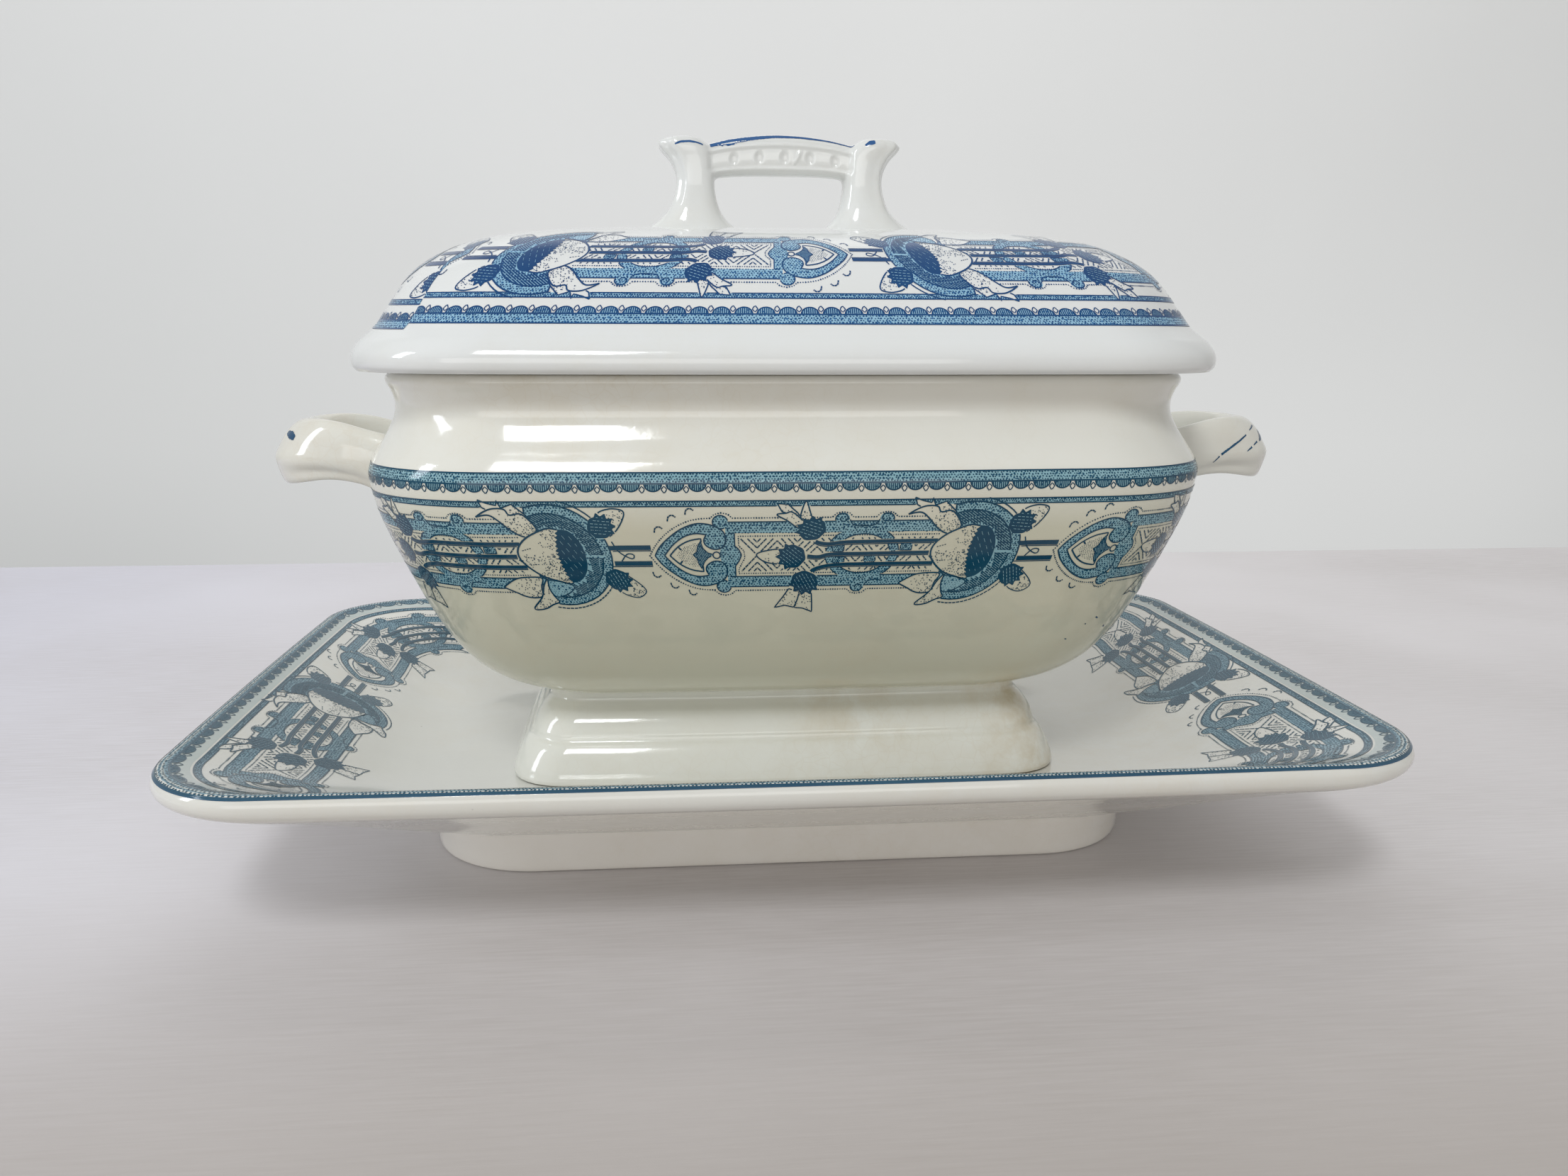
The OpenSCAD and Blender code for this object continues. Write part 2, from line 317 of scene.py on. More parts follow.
class Look:
    """A material in the making: its node tree, its shader and the place on the object in metres."""

    def __init__(self, name):
        self.material = bpy.data.materials.new(name)
        self.material.use_nodes = True
        self.tree = self.material.node_tree
        self.shader = self.tree.nodes["Principled BSDF"]
        self.place = self.tree.nodes.new("ShaderNodeTexCoord").outputs["Object"]

    def feed(self, node, inputs):
        """Gives inputs of a node, by number or name, a value or the output of another node."""
        for key, value in inputs.items():
            if isinstance(value, bpy.types.NodeSocket):
                self.tree.links.new(value, node.inputs[key])
            else:
                node.inputs[key].default_value = value

    def add(self, kind, inputs, **settings):
        """The outputs of a new node."""
        node = self.tree.nodes.new(kind)
        for key, value in settings.items():
            setattr(node, key, value)
        self.feed(node, inputs)
        return node.outputs

    def noise(self, scale, detail=3.0, roughness=0.55):
        return self.add("ShaderNodeTexNoise", {
            "Vector": self.place, "Scale": scale, "Detail": detail, "Roughness": roughness})["Fac"]

    def ramp(self, source, low, high, start=0.0, finish=1.0):
        """Stretches low..high of a value to start..finish."""
        return self.add("ShaderNodeMapRange", {
            "Value": source, "From Min": low, "From Max": high, "To Min": start, "To Max": finish})["Result"]

    def blend(self, share, first, second):
        """Mixes two colours by a value. Each colour is a tuple or a socket."""
        first, second = [(*colour, 1) if isinstance(colour, tuple) else colour for colour in (first, second)]
        return self.add("ShaderNodeMix", {"Factor": share, 6: first, 7: second}, data_type="RGBA")[2]

    def times(self, first, second):
        return self.add("ShaderNodeMath", {0: first, 1: second}, operation="MULTIPLY")[0]

    def bump(self, height, distance, strength, below=None):
        inputs = {"Height": height, "Distance": distance, "Strength": strength}
        if below is not None:
            inputs["Normal"] = below
        return self.add("ShaderNodeBump", inputs)["Normal"]

    def along(self, axis):
        """The place along one axis."""
        return self.add("ShaderNodeSeparateXYZ", {0: self.place})[axis]

    def gloss(self, ior):
        """Makes the roughness drift between two values. Returns the soft ripple of the glaze."""
        self.feed(self.shader, {"Roughness": self.ramp(self.noise(32), 0, 1, 0.06, 0.14), "IOR": ior})
        return self.bump(self.noise(26, 2), 0.0011, 0.35)


def glaze(name, body_colour, stain_colour, stain, crazing, pinholes=0.5, low_painted_shade=None, spots=()):
    """Glossy lead glaze over earthenware: mottled colour, faint stained crazing, specks and a rippled gloss.

    low_painted_shade is painted shade on a downward-facing underside: (height where it starts, height
    where it is full, colour), darker and warmer below. A spot is (middle, radius, strength) of a brown stain.
    Both are in metres.
    """
    look = Look(name)
    cloudy = look.ramp(look.noise(11, 4), 0.38, 0.72)
    fine = look.ramp(look.noise(70, 5, 0.65), 0.35, 0.75)
    ground = body_colour
    # Painted shade: from the start height down to the full height the colour turns to the darker, warmer
    # shade colour
    if low_painted_shade:
        start, full, painted_shade = low_painted_shade
        ground = look.blend(look.ramp(look.along("Z"), start, full), body_colour, painted_shade)
    colour = look.blend(look.times(look.times(cloudy, fine), stain), ground, stain_colour)
    for middle, radius, strength in spots:
        away = look.add("ShaderNodeVectorMath", {0: look.place, 1: middle}, operation="DISTANCE")["Value"]
        near = look.ramp(away, radius, 0.0)
        colour = look.blend(look.times(look.times(near, fine), strength), colour, BROWN)
    # Crazing: a net of hairlines, seen only where the glaze is stained
    shift = look.add("ShaderNodeTexNoise", {"Vector": look.place, "Scale": 260.0, "Detail": 2.0})["Color"]
    small = look.add("ShaderNodeVectorMath", {0: shift, "Scale": 0.0016}, operation="SCALE")[0]
    warped = look.add("ShaderNodeVectorMath", {0: look.place, 1: small}, operation="ADD")[0]
    net = look.add("ShaderNodeTexVoronoi", {"Vector": warped, "Scale": 210.0}, feature="DISTANCE_TO_EDGE")
    hairline = look.times(look.ramp(net["Distance"], 0.05, 0.0), cloudy)
    colour = look.blend(look.times(hairline, crazing), colour, stain_colour)
    # Specks: rare dark pinholes
    cells = look.add("ShaderNodeTexVoronoi", {"Vector": look.place, "Scale": 75.0})
    rare = look.add("ShaderNodeSeparateColor", {0: cells["Color"]})[0]
    speck = look.times(look.ramp(cells["Distance"], 0.045, 0.03), look.ramp(rare, 0.93, 0.935))
    colour = look.blend(look.times(speck, pinholes), colour, (0.10, 0.075, 0.05))
    skin = look.bump(look.noise(420, 2), 0.00006, 0.35, look.gloss(1.56))
    pits = look.bump(look.times(speck, -1.0), 0.0002, 0.6, skin)
    look.feed(look.shader, {
        "Base Color": colour, "Normal": pits, "Coat Weight": 0.25, "Coat Roughness": 0.04})
    return look.material


def cloth(name, colour, painted_light_left_colour, painted_shade_front_colour):
    """Fine white tablecloth, a plain weave with soft creases. Painted light makes it cooler at the left;
    painted shade makes it darker and warmer at the front.
    """
    look = Look(name)
    # Painted window light: a cooler, bluer colour towards the left
    ground = look.blend(look.ramp(look.along("X"), -0.10, -0.45), colour, painted_light_left_colour)
    # Painted shade: a darker, warmer colour towards the front
    ground = look.blend(look.ramp(look.along("Y"), -0.06, -0.30), ground, painted_shade_front_colour)
    soft = look.ramp(look.noise(3.5, 2), 0.3, 0.7)
    stretch = look.add("ShaderNodeMapping", {"Vector": look.place, "Scale": (0.8, 12, 1)})[0]
    threads = look.add("ShaderNodeTexNoise", {"Vector": stretch, "Scale": 60.0, "Detail": 4.0})["Fac"]
    mottle = look.times(look.times(threads, soft), 0.5)
    # The weave's darker threads take a darker copy of the front's painted shade colour
    shade = tuple(0.86 * part for part in painted_shade_front_colour)
    weave = look.bump(threads, 0.0002, 0.3, look.bump(look.noise(5, 2), 0.012, 0.35))
    look.feed(look.shader, {
        "Base Color": look.blend(mottle, ground, shade), "Normal": weave, "Roughness": 0.62})
    return look.material


def paint(name, colour):
    """Matt wall paint."""
    look = Look(name)
    darker = tuple(0.97 * part for part in colour)
    shade = look.blend(look.ramp(look.noise(2, 2), 0.2, 0.8), colour, darker)
    look.feed(look.shader, {"Base Color": shade, "Roughness": 0.9})
    return look.material


# The brown of old stains
BROWN = (0.55, 0.42, 0.22)

LID_GLAZE = glaze("lid_glaze", (0.79, 0.805, 0.80), (0.74, 0.72, 0.64), 0.35, 0.10)
GRIP_GLAZE = glaze("grip_glaze", (0.78, 0.79, 0.775), (0.72, 0.69, 0.60), 0.5, 0.10, 0.8)
# The bowl's belly carries painted shade: darker and warmer towards the bottom
BOWL_GLAZE = glaze("bowl_glaze", (0.80, 0.795, 0.735), (0.66, 0.585, 0.43), 0.55, 0.20,
                   low_painted_shade=(0.137, 0.118, (0.66, 0.645, 0.51)),
                   spots=(((0.070, -0.048, 0.059), 0.024, 0.9), ((0.020, -0.05, 0.058), 0.03, 0.3)))
# The foot's glaze is a slightly brighter copy of the bowl's: painted light. Its brown spots are real stains.
LIT_FOOT_GLAZE = glaze("foot_glaze", (0.83, 0.825, 0.755), (0.68, 0.60, 0.45), 0.50, 0.20,
                   spots=(((0.079, -0.043, 0.056), 0.021, 1.0), ((0.085, -0.054, 0.031), 0.024, 0.8),
                          ((0.020, -0.045, 0.057), 0.03, 0.4)))
HANDLE_GLAZE = glaze("handle_glaze", (0.77, 0.76, 0.695), (0.62, 0.52, 0.38), 0.75, 0.25)
STAND_GLAZE = glaze("stand_glaze", (0.75, 0.745, 0.70), (0.68, 0.61, 0.48), 0.40, 0.12)
# The foot ring's glaze is a brighter copy of the stand's: painted light that makes up for the shade under the
# dish's overhang
LIT_RING_GLAZE = glaze("ring_glaze", (0.93, 0.90, 0.84), (0.74, 0.66, 0.52), 0.40, 0.12)


# ---------------------------------------------------------------- stand

stand_skin = Skin(STAND_SECTION, half_sizes("stand_dish"), STAND_CORNER, 0, STAND_BOW, 0)
stand_recess = [stand_skin.ring(inset, height, column_zones()) for inset, height in STAND_RECESS]
stand_dish = closed_skin("stand_dish_glazed", np.concatenate([stand_recess, stand_skin.grid()]), "stand",
                         STAND_GLAZE)
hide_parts("stand_dish")


RING_CORNER_STEPS = 28


def ring_outline(inset):
    """Outline of the foot ring: straight sides and round corners."""
    half = (RING_HIGH - RING_LOW)[:2] / 2 - RING_CORNER
    radius = RING_CORNER - inset
    points = []
    for turn, (sign_x, sign_y) in enumerate(((1, 1), (-1, 1), (-1, -1), (1, -1))):
        for angle in np.linspace(turn, turn + 1, RING_CORNER_STEPS) * math.pi / 2:
            points.append((sign_x * half[0] + radius * math.cos(angle),
                           sign_y * half[1] + radius * math.sin(angle)))
    return np.array(points)


def make_foot_ring():
    """The ring under the stand: it leans out a little as it rises and its bottom edge is rounded."""
    top = RING_HIGH[2]
    # (distance in from the widest outline, height)
    section = smooth([
        (RING_WALL - 2, 0.3), (RING_WALL - 3.5, 0), (3, 0), (1.6, 0.6), (1, 2.4), (0.7, 6), (0.3, 10),
        (0, top - 1), (0, top + 1.5)], 4)
    inside = [(RING_WALL, top + 1.5), (RING_WALL, top / 2), (RING_WALL - 0.6, 2)]
    rows = [np.column_stack([ring_outline(inset), np.full(4 * RING_CORNER_STEPS, height)])
            for inset, height in [*section, *inside]]
    piece = tube_skin("stand_foot_ring_glazed", rows, "stand", LIT_RING_GLAZE)
    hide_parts("stand_foot_ring")


make_foot_ring()


# ---------------------------------------------------------------- bowl

bowl_section = BOWL_OUTSIDE + BOWL_INSIDE
bowl_skin = Skin(bowl_section, half_sizes("bowl"), BOWL_CORNER, BOWL_TIGHTEN, BOWL_BOW, BOWL_LOW[2])
bowl = closed_skin("bowl_glazed", bowl_skin.grid(), "tureen", BOWL_GLAZE)
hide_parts("bowl")


def make_bowl_foot():
    """The pedestal foot: a spreading base with two soft mouldings."""
    wall = 8
    neck = FOOT_OUTSIDE[-1][0]
    height = FOOT_HIGH[2] - FOOT_LOW[2]
    inside = [(wall + neck, height), (wall + 4, height / 2), (wall, 0.6), (wall - 0.8, 0)]
    skin = Skin(FOOT_OUTSIDE, half_sizes("bowl_foot"), FOOT_CORNER, FOOT_TIGHTEN, BOWL_BOW, FOOT_LOW[2])
    inner = [skin.ring(inset, up, column_zones()) for inset, up in inside]
    rows = [*skin.grid(), *inner]
    piece = tube_skin("bowl_foot_glazed", rows, "tureen", LIT_FOOT_GLAZE)
    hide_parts("bowl_foot")


make_bowl_foot()


# ---------------------------------------------------------------- side handles

HANDLE_ROOT = 126.5
HANDLE_SPREAD = 23
HANDLE_STATIONS = 96
HANDLE_SIDES = 48
HANDLE_TIP = SIDE_HIGH[0] - 9.9
# The right handle reaches a little farther out than the left one
RIGHT_REACH = 6


def handle_rows(side):
    """Sections of a side handle: two arms leave the bowl, rise, and join in a drooping tip."""
    tip = HANDLE_TIP + (RIGHT_REACH if side > 0 else 0)
    root_height = BOWL_LOW[2] + 71.5
    around = np.linspace(0, 2 * math.pi, HANDLE_SIDES, endpoint=False)
    # A long hollow under the outer face, a rounded edge over it and a second edge below
    groove = 0.26 * np.exp(-((around - math.radians(306)) / 0.24) ** 2)
    ridge = 0.11 * np.exp(-((around - math.radians(338)) / 0.24) ** 2)
    ridge += 0.08 * np.exp(-((around - math.radians(278)) / 0.2) ** 2)
    rows = []
    for turn in np.radians(np.linspace(-89, 89, HANDLE_STATIONS)):
        out = math.cos(turn) ** 0.82
        facing = np.array([HANDLE_SPREAD * math.cos(turn), (tip - HANDLE_ROOT) * math.sin(turn)])
        facing /= np.linalg.norm(facing)
        lean = math.radians(24 * out ** 4)
        rise = 8.2 * math.sin(math.pi / 2 * min(1, 1.3 * out)) - 2.2 * out ** 5
        centre = np.array([HANDLE_ROOT + (tip - HANDLE_ROOT) * out, HANDLE_SPREAD * math.sin(turn),
                           root_height + rise])
        # The arms flare where they meet the bowl
        flare = max(0, 1 - out / 0.42) ** 2
        thick = 3.9 + 3.6 * out ** 4 + 2.4 * flare
        tall = 9.4 + 2.6 * out ** 4 + 4.6 * flare
        centre[2] -= 2 * flare
        flat = np.array([*(facing * math.cos(lean)), math.sin(lean)])
        up = np.array([*(-facing * math.sin(lean)), math.cos(lean)])
        # The hollow runs out before it reaches the tip
        depth = min(1, out * 1.3)
        shape = 1 + ridge * depth - groove * depth * (1 - out ** 6)
        wide = thick * np.cos(around) * shape
        high = tall * np.sin(around) * (1 + (shape - 1) * 0.5)
        rows.append(centre + wide[:, None] * flat + high[:, None] * up)
    rows = np.array(rows)
    if side < 0:
        rows = rows[::-1] * [-1, 1, 1]
    return rows


def make_side_handle(side, name):
    rows = handle_rows(side)
    piece = closed_skin(name + "_glazed", rows[::-1], "tureen", HANDLE_GLAZE)
    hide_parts(name)
    return piece


handle_right = make_side_handle(1, "handle_right")
handle_left = make_side_handle(-1, "handle_left")


# ---------------------------------------------------------------- lid

LID_BASE = BOWL_HIGH[2] + 0.3
LID_CROWN_RISE = 0.5
# How far the glazed lid reaches past the plain one along its length
LID_OVERHANG = np.array([0.4, 0])


def lid_section(section, overhang, steps):
    """A skin that follows the lid's outline."""
    half = half_sizes("lid_cover") + overhang
    return Skin(section, half, BOWL_CORNER, BOWL_TIGHTEN, BOWL_BOW, LID_BASE, steps)


def make_lid():
    """The domed lid. Returns the skin of its outside, which carries the print."""
    outside = lid_section(LID_OUTSIDE, LID_OVERHANG, SECTION_STEPS)
    under = lid_section(LID_INSIDE, LID_OVERHANG, 3)
    rows = np.concatenate([under.grid(), outside.grid()])
    piece = closed_skin("lid_cover_glazed", rows, "lid", LID_GLAZE, LID_CROWN_RISE)
    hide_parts("lid_cover")
    return outside


def make_flange():
    """The band under the lid that drops inside the bowl's rim."""
    depth = LID_BASE - FLANGE_LOW[2]
    top = FLANGE_HIGH[2] - LID_BASE
    near = FLANGE_INSET
    far = FLANGE_INSET + FLANGE_WALL
    # The lower edge is rounded on both sides: (distance from the face, height)
    edge = ((2, 0), (1, 0.3), (0.2, 1.3), (0, 3))
    section = [(near + inward, up - depth) for inward, up in edge] + [(near, top), (far, top)]
    section += [(far - inward, up - depth) for inward, up in reversed(edge)]
    skin = lid_section(section, 0, 1)
    piece = tube_skin("lid_flange_glazed", skin.grid(), "lid", LID_GLAZE)
    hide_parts("lid_flange")


lid_skin = make_lid()
make_flange()


# ---------------------------------------------------------------- lid handle

# A post: (height, inner side, outer side, half its depth)
GRIP_POST = [
    (-1, 11.4, 49.8, 13.8), (0, 12.5, 48.6, 13.4), (2, 15.6, 45, 12.2), (5, 18.8, 41, 11),
    (9, 21, 37.8, 9.8), (15, 22.3, 35.8, 9), (20, 22.3, 35.8, 9), (24.5, 22.6, 37.8, 9.3),
    (28, 23.6, 41, 9.8), (29.8, 25.2, 41.5, 9.6), (31.2, 27.4, 39, 8.6), (31.8, 30, 36, 6),
]
GRIP_HEIGHT = 33.1
GRIP_SPAN = 29
GRIP_HALF_DEPTH = 7
GRIP_SIDES = 64
PANEL_DEPTH = 1.0


def squared(half_x, half_y, around):
    """A rounded square section."""
    x = half_x * np.sign(np.cos(around)) * np.abs(np.cos(around)) ** 0.7
    y = half_y * np.sign(np.sin(around)) * np.abs(np.sin(around)) ** 0.7
    return x, y


def post_rows(side):
    """Sections of a post, with flutes on its outer half that fade towards its spreading base."""
    around = np.linspace(0, 2 * math.pi, GRIP_SIDES, endpoint=False)
    outward = np.clip(side * np.cos(around) + 0.35, 0, 1)
    rows = []
    for height, near, far, depth in smooth(GRIP_POST, 6):
        x, y = squared((far - near) / 2, depth, around)
        fade = min(1, max(0, (height - 4) / 8))
        flute = 1 + 0.05 * fade * outward * np.cos(7 * around)
        rows.append(np.stack([side * (near + far) / 2 + x * flute, y * flute,
                              LID_HIGH[2] + height + 0 * x], -1))
    return rows


def bar_edges(part):
    """Heights of the bar's top and underside, from its middle at 0 to its ends at -1 and 1."""
    crown = LID_HIGH[2] + GRIP_HEIGHT
    return crown - 4.4 * part ** 2, crown - 13.6 - 2.6 * part ** 4


def bar_rows():
    """Sections of the bar: it arches between the posts and is deeper at its ends."""
    around = np.linspace(0, 2 * math.pi, GRIP_SIDES, endpoint=False)
    rows = []
    for part in np.linspace(-1, 1, 60):
        top, under = bar_edges(part)
        y, z = squared(GRIP_HALF_DEPTH, (top - under) / 2, around)
        x = np.full(GRIP_SIDES, GRIP_SPAN * part)
        rows.append(np.stack([x, y, (top + under) / 2 + z], -1))
    return rows


def step(value, low, high):
    """Rises smoothly from 0 at low to 1 at high."""
    part = np.clip((value - low) / (high - low), 0, 1)
    return part * part * (3 - 2 * part)


def carve_bar(points):
    """Sinks the long panel with its five oval hollows and a slanted leaf into both faces of the bar."""
    x, y, z = points.T
    top, under = bar_edges(x / GRIP_SPAN)
    across = (z - (top + under) / 2) / ((top - under) / 2)
    face = step(np.abs(y), 4.2, 5.2)
    upper = 1 - step(across, 0.26, 0.42)
    lower = step(across, -0.72, -0.56)
    panel = face * upper * lower * (1 - step(np.abs(x), 23.5, 25.5))
    sunk = PANEL_DEPTH * panel
    # A quirk line under the rounded top moulding
    sunk += 0.45 * face * np.exp(-((across - 0.58) / 0.07) ** 2) * (1 - step(np.abs(x), 22, 25))
    middle = -0.15
    for place in (-2, -1, 0, 1, 2):
        far = ((x - 1.5 - 8.7 * place) / 1.5) ** 2 + ((across - middle) / 0.33) ** 2
        sunk += 0.75 * face * (1 - step(far, 0.25, 1.15))
    leaf_x = x - 5.8 - 3.2 * (across - middle)
    leaf = (leaf_x / 0.9) ** 2 + ((across - middle) / 0.42) ** 2
    sunk -= 0.55 * face * (1 - step(leaf, 0.2, 1.2))
    points[:, 1] -= np.sign(y) * sunk
    return points


def make_grip():
    """Posts and bar joined into one skin with soft fillets, then carved."""
    points, faces = [], []
    for rows in (post_rows(-1), post_rows(1), bar_rows()):
        start = len(points)
        points += list(np.concatenate(rows))
        shape = capped_faces(len(rows), GRIP_SIDES)
        faces += [tuple(start + corner for corner in face) for face in shape]
    piece = make_mesh("lid_handle_glazed", points, faces, "lid", GRIP_GLAZE)
    remesh = piece.modifiers.new("join", "REMESH")
    remesh.mode = "VOXEL"
    remesh.voxel_size = 0.55 * MM
    relax = piece.modifiers.new("fillet", "SMOOTH")
    relax.iterations = 7
    relax.factor = 0.5
    graph = bpy.context.evaluated_depsgraph_get()
    joined = bpy.data.meshes.new_from_object(piece.evaluated_get(graph))
    piece.modifiers.clear()
    piece.data = joined
    flat = np.empty(len(joined.vertices) * 3)
    joined.vertices.foreach_get("co", flat)
    carved = carve_bar(flat.reshape(-1, 3) / MM) * MM
    joined.vertices.foreach_set("co", carved.ravel())
    joined.update()
    joined.shade_smooth()
    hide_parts("lid_handle")
    return piece


lid_handle = make_grip()


# ---------------------------------------------------------------- the printed border, drawn flat

# One repeat of the border: x runs along the band and y runs across it from its outer line.
REPEAT = 129
MIDDLE = 26.4
TONE = "tone"
DARK = "dark"
CLEAR = "clear"
LINE = 0.3
STEP = 0.6
# How much wider a line prints than it is drawn
SPREAD = 1.35
# Largest cell of a filled area, so that it can follow the round glaze
CELL_X = 3
CELL_Y = 1.5
# Heights of the layers of ink above the glaze
FILL_LIFT = 0.07
LINE_LIFT = 0.12
LIGHT_LIFT = 0.16


def inside(points, outline):
    """Which points lie inside an outline."""
    result = np.zeros(len(points), bool)
    near = np.all((points >= outline.min(0)) & (points <= outline.max(0)), axis=1)
    x, y = points[near, 0][:, None], points[near, 1][:, None]
    x1, y1 = outline.T
    x2, y2 = np.roll(outline, -1, axis=0).T
    fall = np.where(y2 == y1, 1, y2 - y1)
    crosses = ((y1 > y) != (y2 > y)) & (x < (x2 - x1) * (y - y1) / fall + x1)
    result[near] = crosses.sum(1) % 2 == 1
    return result


def spaced(path, step, closed=False):
    """The path as points an equal step apart."""
    path = np.array(path, float)
    if closed:
        path = np.concatenate([path, path[:1]])
    lengths = lengths_along(path)
    count = max(2, int(round(lengths[-1] / step)) + 1)
    return points_at(path, lengths, np.linspace(0, lengths[-1], count))


def curve(*points):
    return smooth(points, 6)


def loop(*points):
    return smooth(points, 6, closed=True)


def ellipse(x, y, radius_x, radius_y, start=0, end=360, turn=0):
    """Part of an ellipse, anticlockwise in degrees from its own long axis."""
    angle = np.radians(np.linspace(start, end, max(8, int(abs(end - start) / 9)) + 1))
    if abs(end - start) == 360:
        angle = angle[:-1]
    across, up = radius_x * np.cos(angle), radius_y * np.sin(angle)
    turn = math.radians(turn)
    return np.column_stack([x + across * math.cos(turn) - up * math.sin(turn),
                            y + across * math.sin(turn) + up * math.cos(turn)])


def rectangle(x1, y1, x2, y2):
    return np.array([(x1, y1), (x2, y1), (x2, y2), (x1, y2)], float)


def mirrored(path):
    """The path reflected in the middle line of the frieze."""
    return np.array(path, float) * [1, -1] + [0, 2 * MIDDLE]


def runs(flags):
    """Start and end of each stretch of two or more flags that are set."""
    edges = np.flatnonzero(np.diff(np.concatenate([[0], flags, [0]]).astype(int)))
    return [(start, end) for start, end in zip(edges[::2], edges[1::2]) if end - start > 1]


def between_paths(first, second):
    """The area between two paths that run the same way."""
    return np.concatenate([first, np.array(second)[::-1]])


class Drawing:
    """Areas, lines and dots in the order they are laid. A later area hides what lies under it."""

    def __init__(self, seed):
        self.areas = []
        self.lines = []
        self.dots = []
        self.random = np.random.default_rng(seed)

    def area(self, outline, shade, edge=0.0, ground=0.0):
        """Fills an outline. edge is the width of a dark line round it, ground the gap of its stipple."""
        outline = np.array(outline, float)
        self.areas.append((outline, shade))
        if ground:
            self.stipple(outline, ground)
        if edge:
            self.line(outline, edge, closed=True)

    def line(self, path, width=LINE, shade=DARK, closed=False, dash=0.0, gap=0.0, step=STEP):
        points = spaced(path, step, closed)
        width *= SPREAD
        level = len(self.areas)
        if not dash:
            self.lines.append((points, width, shade, level))
            return
        lengths = lengths_along(points)
        for start in np.arange(0, lengths[-1], dash + gap):
            at = np.linspace(start, min(start + dash, lengths[-1]), 3)
            self.lines.append((points_at(points, lengths, at), width, shade, level))

    def dotted(self, path, gap=0.8, radius=0.3):
        self.dots.append((spaced(path, gap), radius, len(self.areas)))

    def stipple(self, outline, gap=0.95, radius=0.3):
        """Dots in staggered, slightly uneven rows."""
        outline = np.array(outline, float)
        low, high = outline.min(0), outline.max(0)
        rows = np.arange(low[1] + gap / 2, high[1], gap * 0.8)
        points = []
        for index, y in enumerate(rows):
            x = np.arange(low[0] + gap * (0.25 + 0.5 * (index % 2)), high[0], gap)
            points.append(np.column_stack([x, np.full(len(x), y)]))
        if not points:
            return
        points = np.concatenate(points)
        points += self.random.uniform(-0.16, 0.16, points.shape) * gap
        self.dots.append((points[inside(points, outline)], radius, len(self.areas)))

    def shading(self, outline, start, end, gap=0.62, radius=0.2):
        """Stipple that is densest at end and gone at start."""
        outline = np.array(outline, float)
        low, high = outline.min(0), outline.max(0)
        count = int((high[0] - low[0]) * (high[1] - low[1]) / gap ** 2)
        points = self.random.uniform(low, high, (count, 2))
        way = np.array(end, float) - start
        share = (points - start) @ way / (way @ way)
        keep = inside(points, outline) & (share > self.random.uniform(0, 1, count) + 0.1)
        self.dots.append((points[keep], radius, len(self.areas)))

    def hatch(self, outline, gap, degrees, width=0.22, shade=DARK, dash=0.0, rest=0.0):
        """Parallel strokes inside an outline."""
        outline = np.array(outline, float)
        turn = math.radians(degrees)
        way = np.array([math.cos(turn), math.sin(turn)])
        side = np.array([-way[1], way[0]])
        reach = outline @ side
        spread = outline @ way
        for offset in np.arange(reach.min() + gap / 2, reach.max(), gap):
            path = spaced([way * spread.min() + side * offset, way * spread.max() + side * offset], 0.3)
            for start, end in runs(inside(path, outline)):
                self.line(path[[start, end - 1]], width, shade, dash=dash, gap=rest)

    def shown(self, points, level):
        """Which points no later area hides."""
        free = np.ones(len(points), bool)
        for outline, _ in self.areas[level:]:
            free &= ~inside(points, outline)
        return free


def fill_triangles(drawing):
    """Triangles of each shade, cut so that the topmost area decides the shade of every place."""
    corners, faces, edges = [], [], []
    for outline, _ in drawing.areas:
        (x1, y1), (x2, y2) = outline.T, np.roll(outline, -1, axis=0).T
        ordered = outline if np.dot(x1, y2) > np.dot(y1, x2) else outline[::-1]
        faces.append(list(range(len(corners), len(corners) + len(ordered))))
        corners += [Vector(point) for point in ordered]
    every = np.concatenate([outline for outline, _ in drawing.areas])
    low, high = every.min(0) - 0.5, every.max(0) + 0.5
    for x in np.arange(low[0], high[0], CELL_X):
        edges.append((len(corners), len(corners) + 1))
        corners += [Vector((x, low[1])), Vector((x, high[1]))]
    for y in np.arange(low[1], high[1], CELL_Y):
        edges.append((len(corners), len(corners) + 1))
        corners += [Vector((low[0], y)), Vector((high[0], y))]
    points, _, triangles, _, _, owners = delaunay_2d_cdt(corners, edges, faces, 0, 1e-4, True)
    points = np.array(points, float)
    found = {TONE: [], DARK: [], CLEAR: []}
    for triangle, owner in zip(triangles, owners):
        if owner:
            found[drawing.areas[max(owner)][1]].append(triangle)
    return points, found


def ribbon(points, width):
    """Corners of a strip of the given width along a path."""
    way = np.gradient(points, axis=0)
    way /= np.maximum(np.hypot(*way.T), 1e-9)[:, None]
    side = np.column_stack([-way[:, 1], way[:, 0]]) * width / 2
    return np.stack([points + side, points - side], 1).reshape(-1, 2)


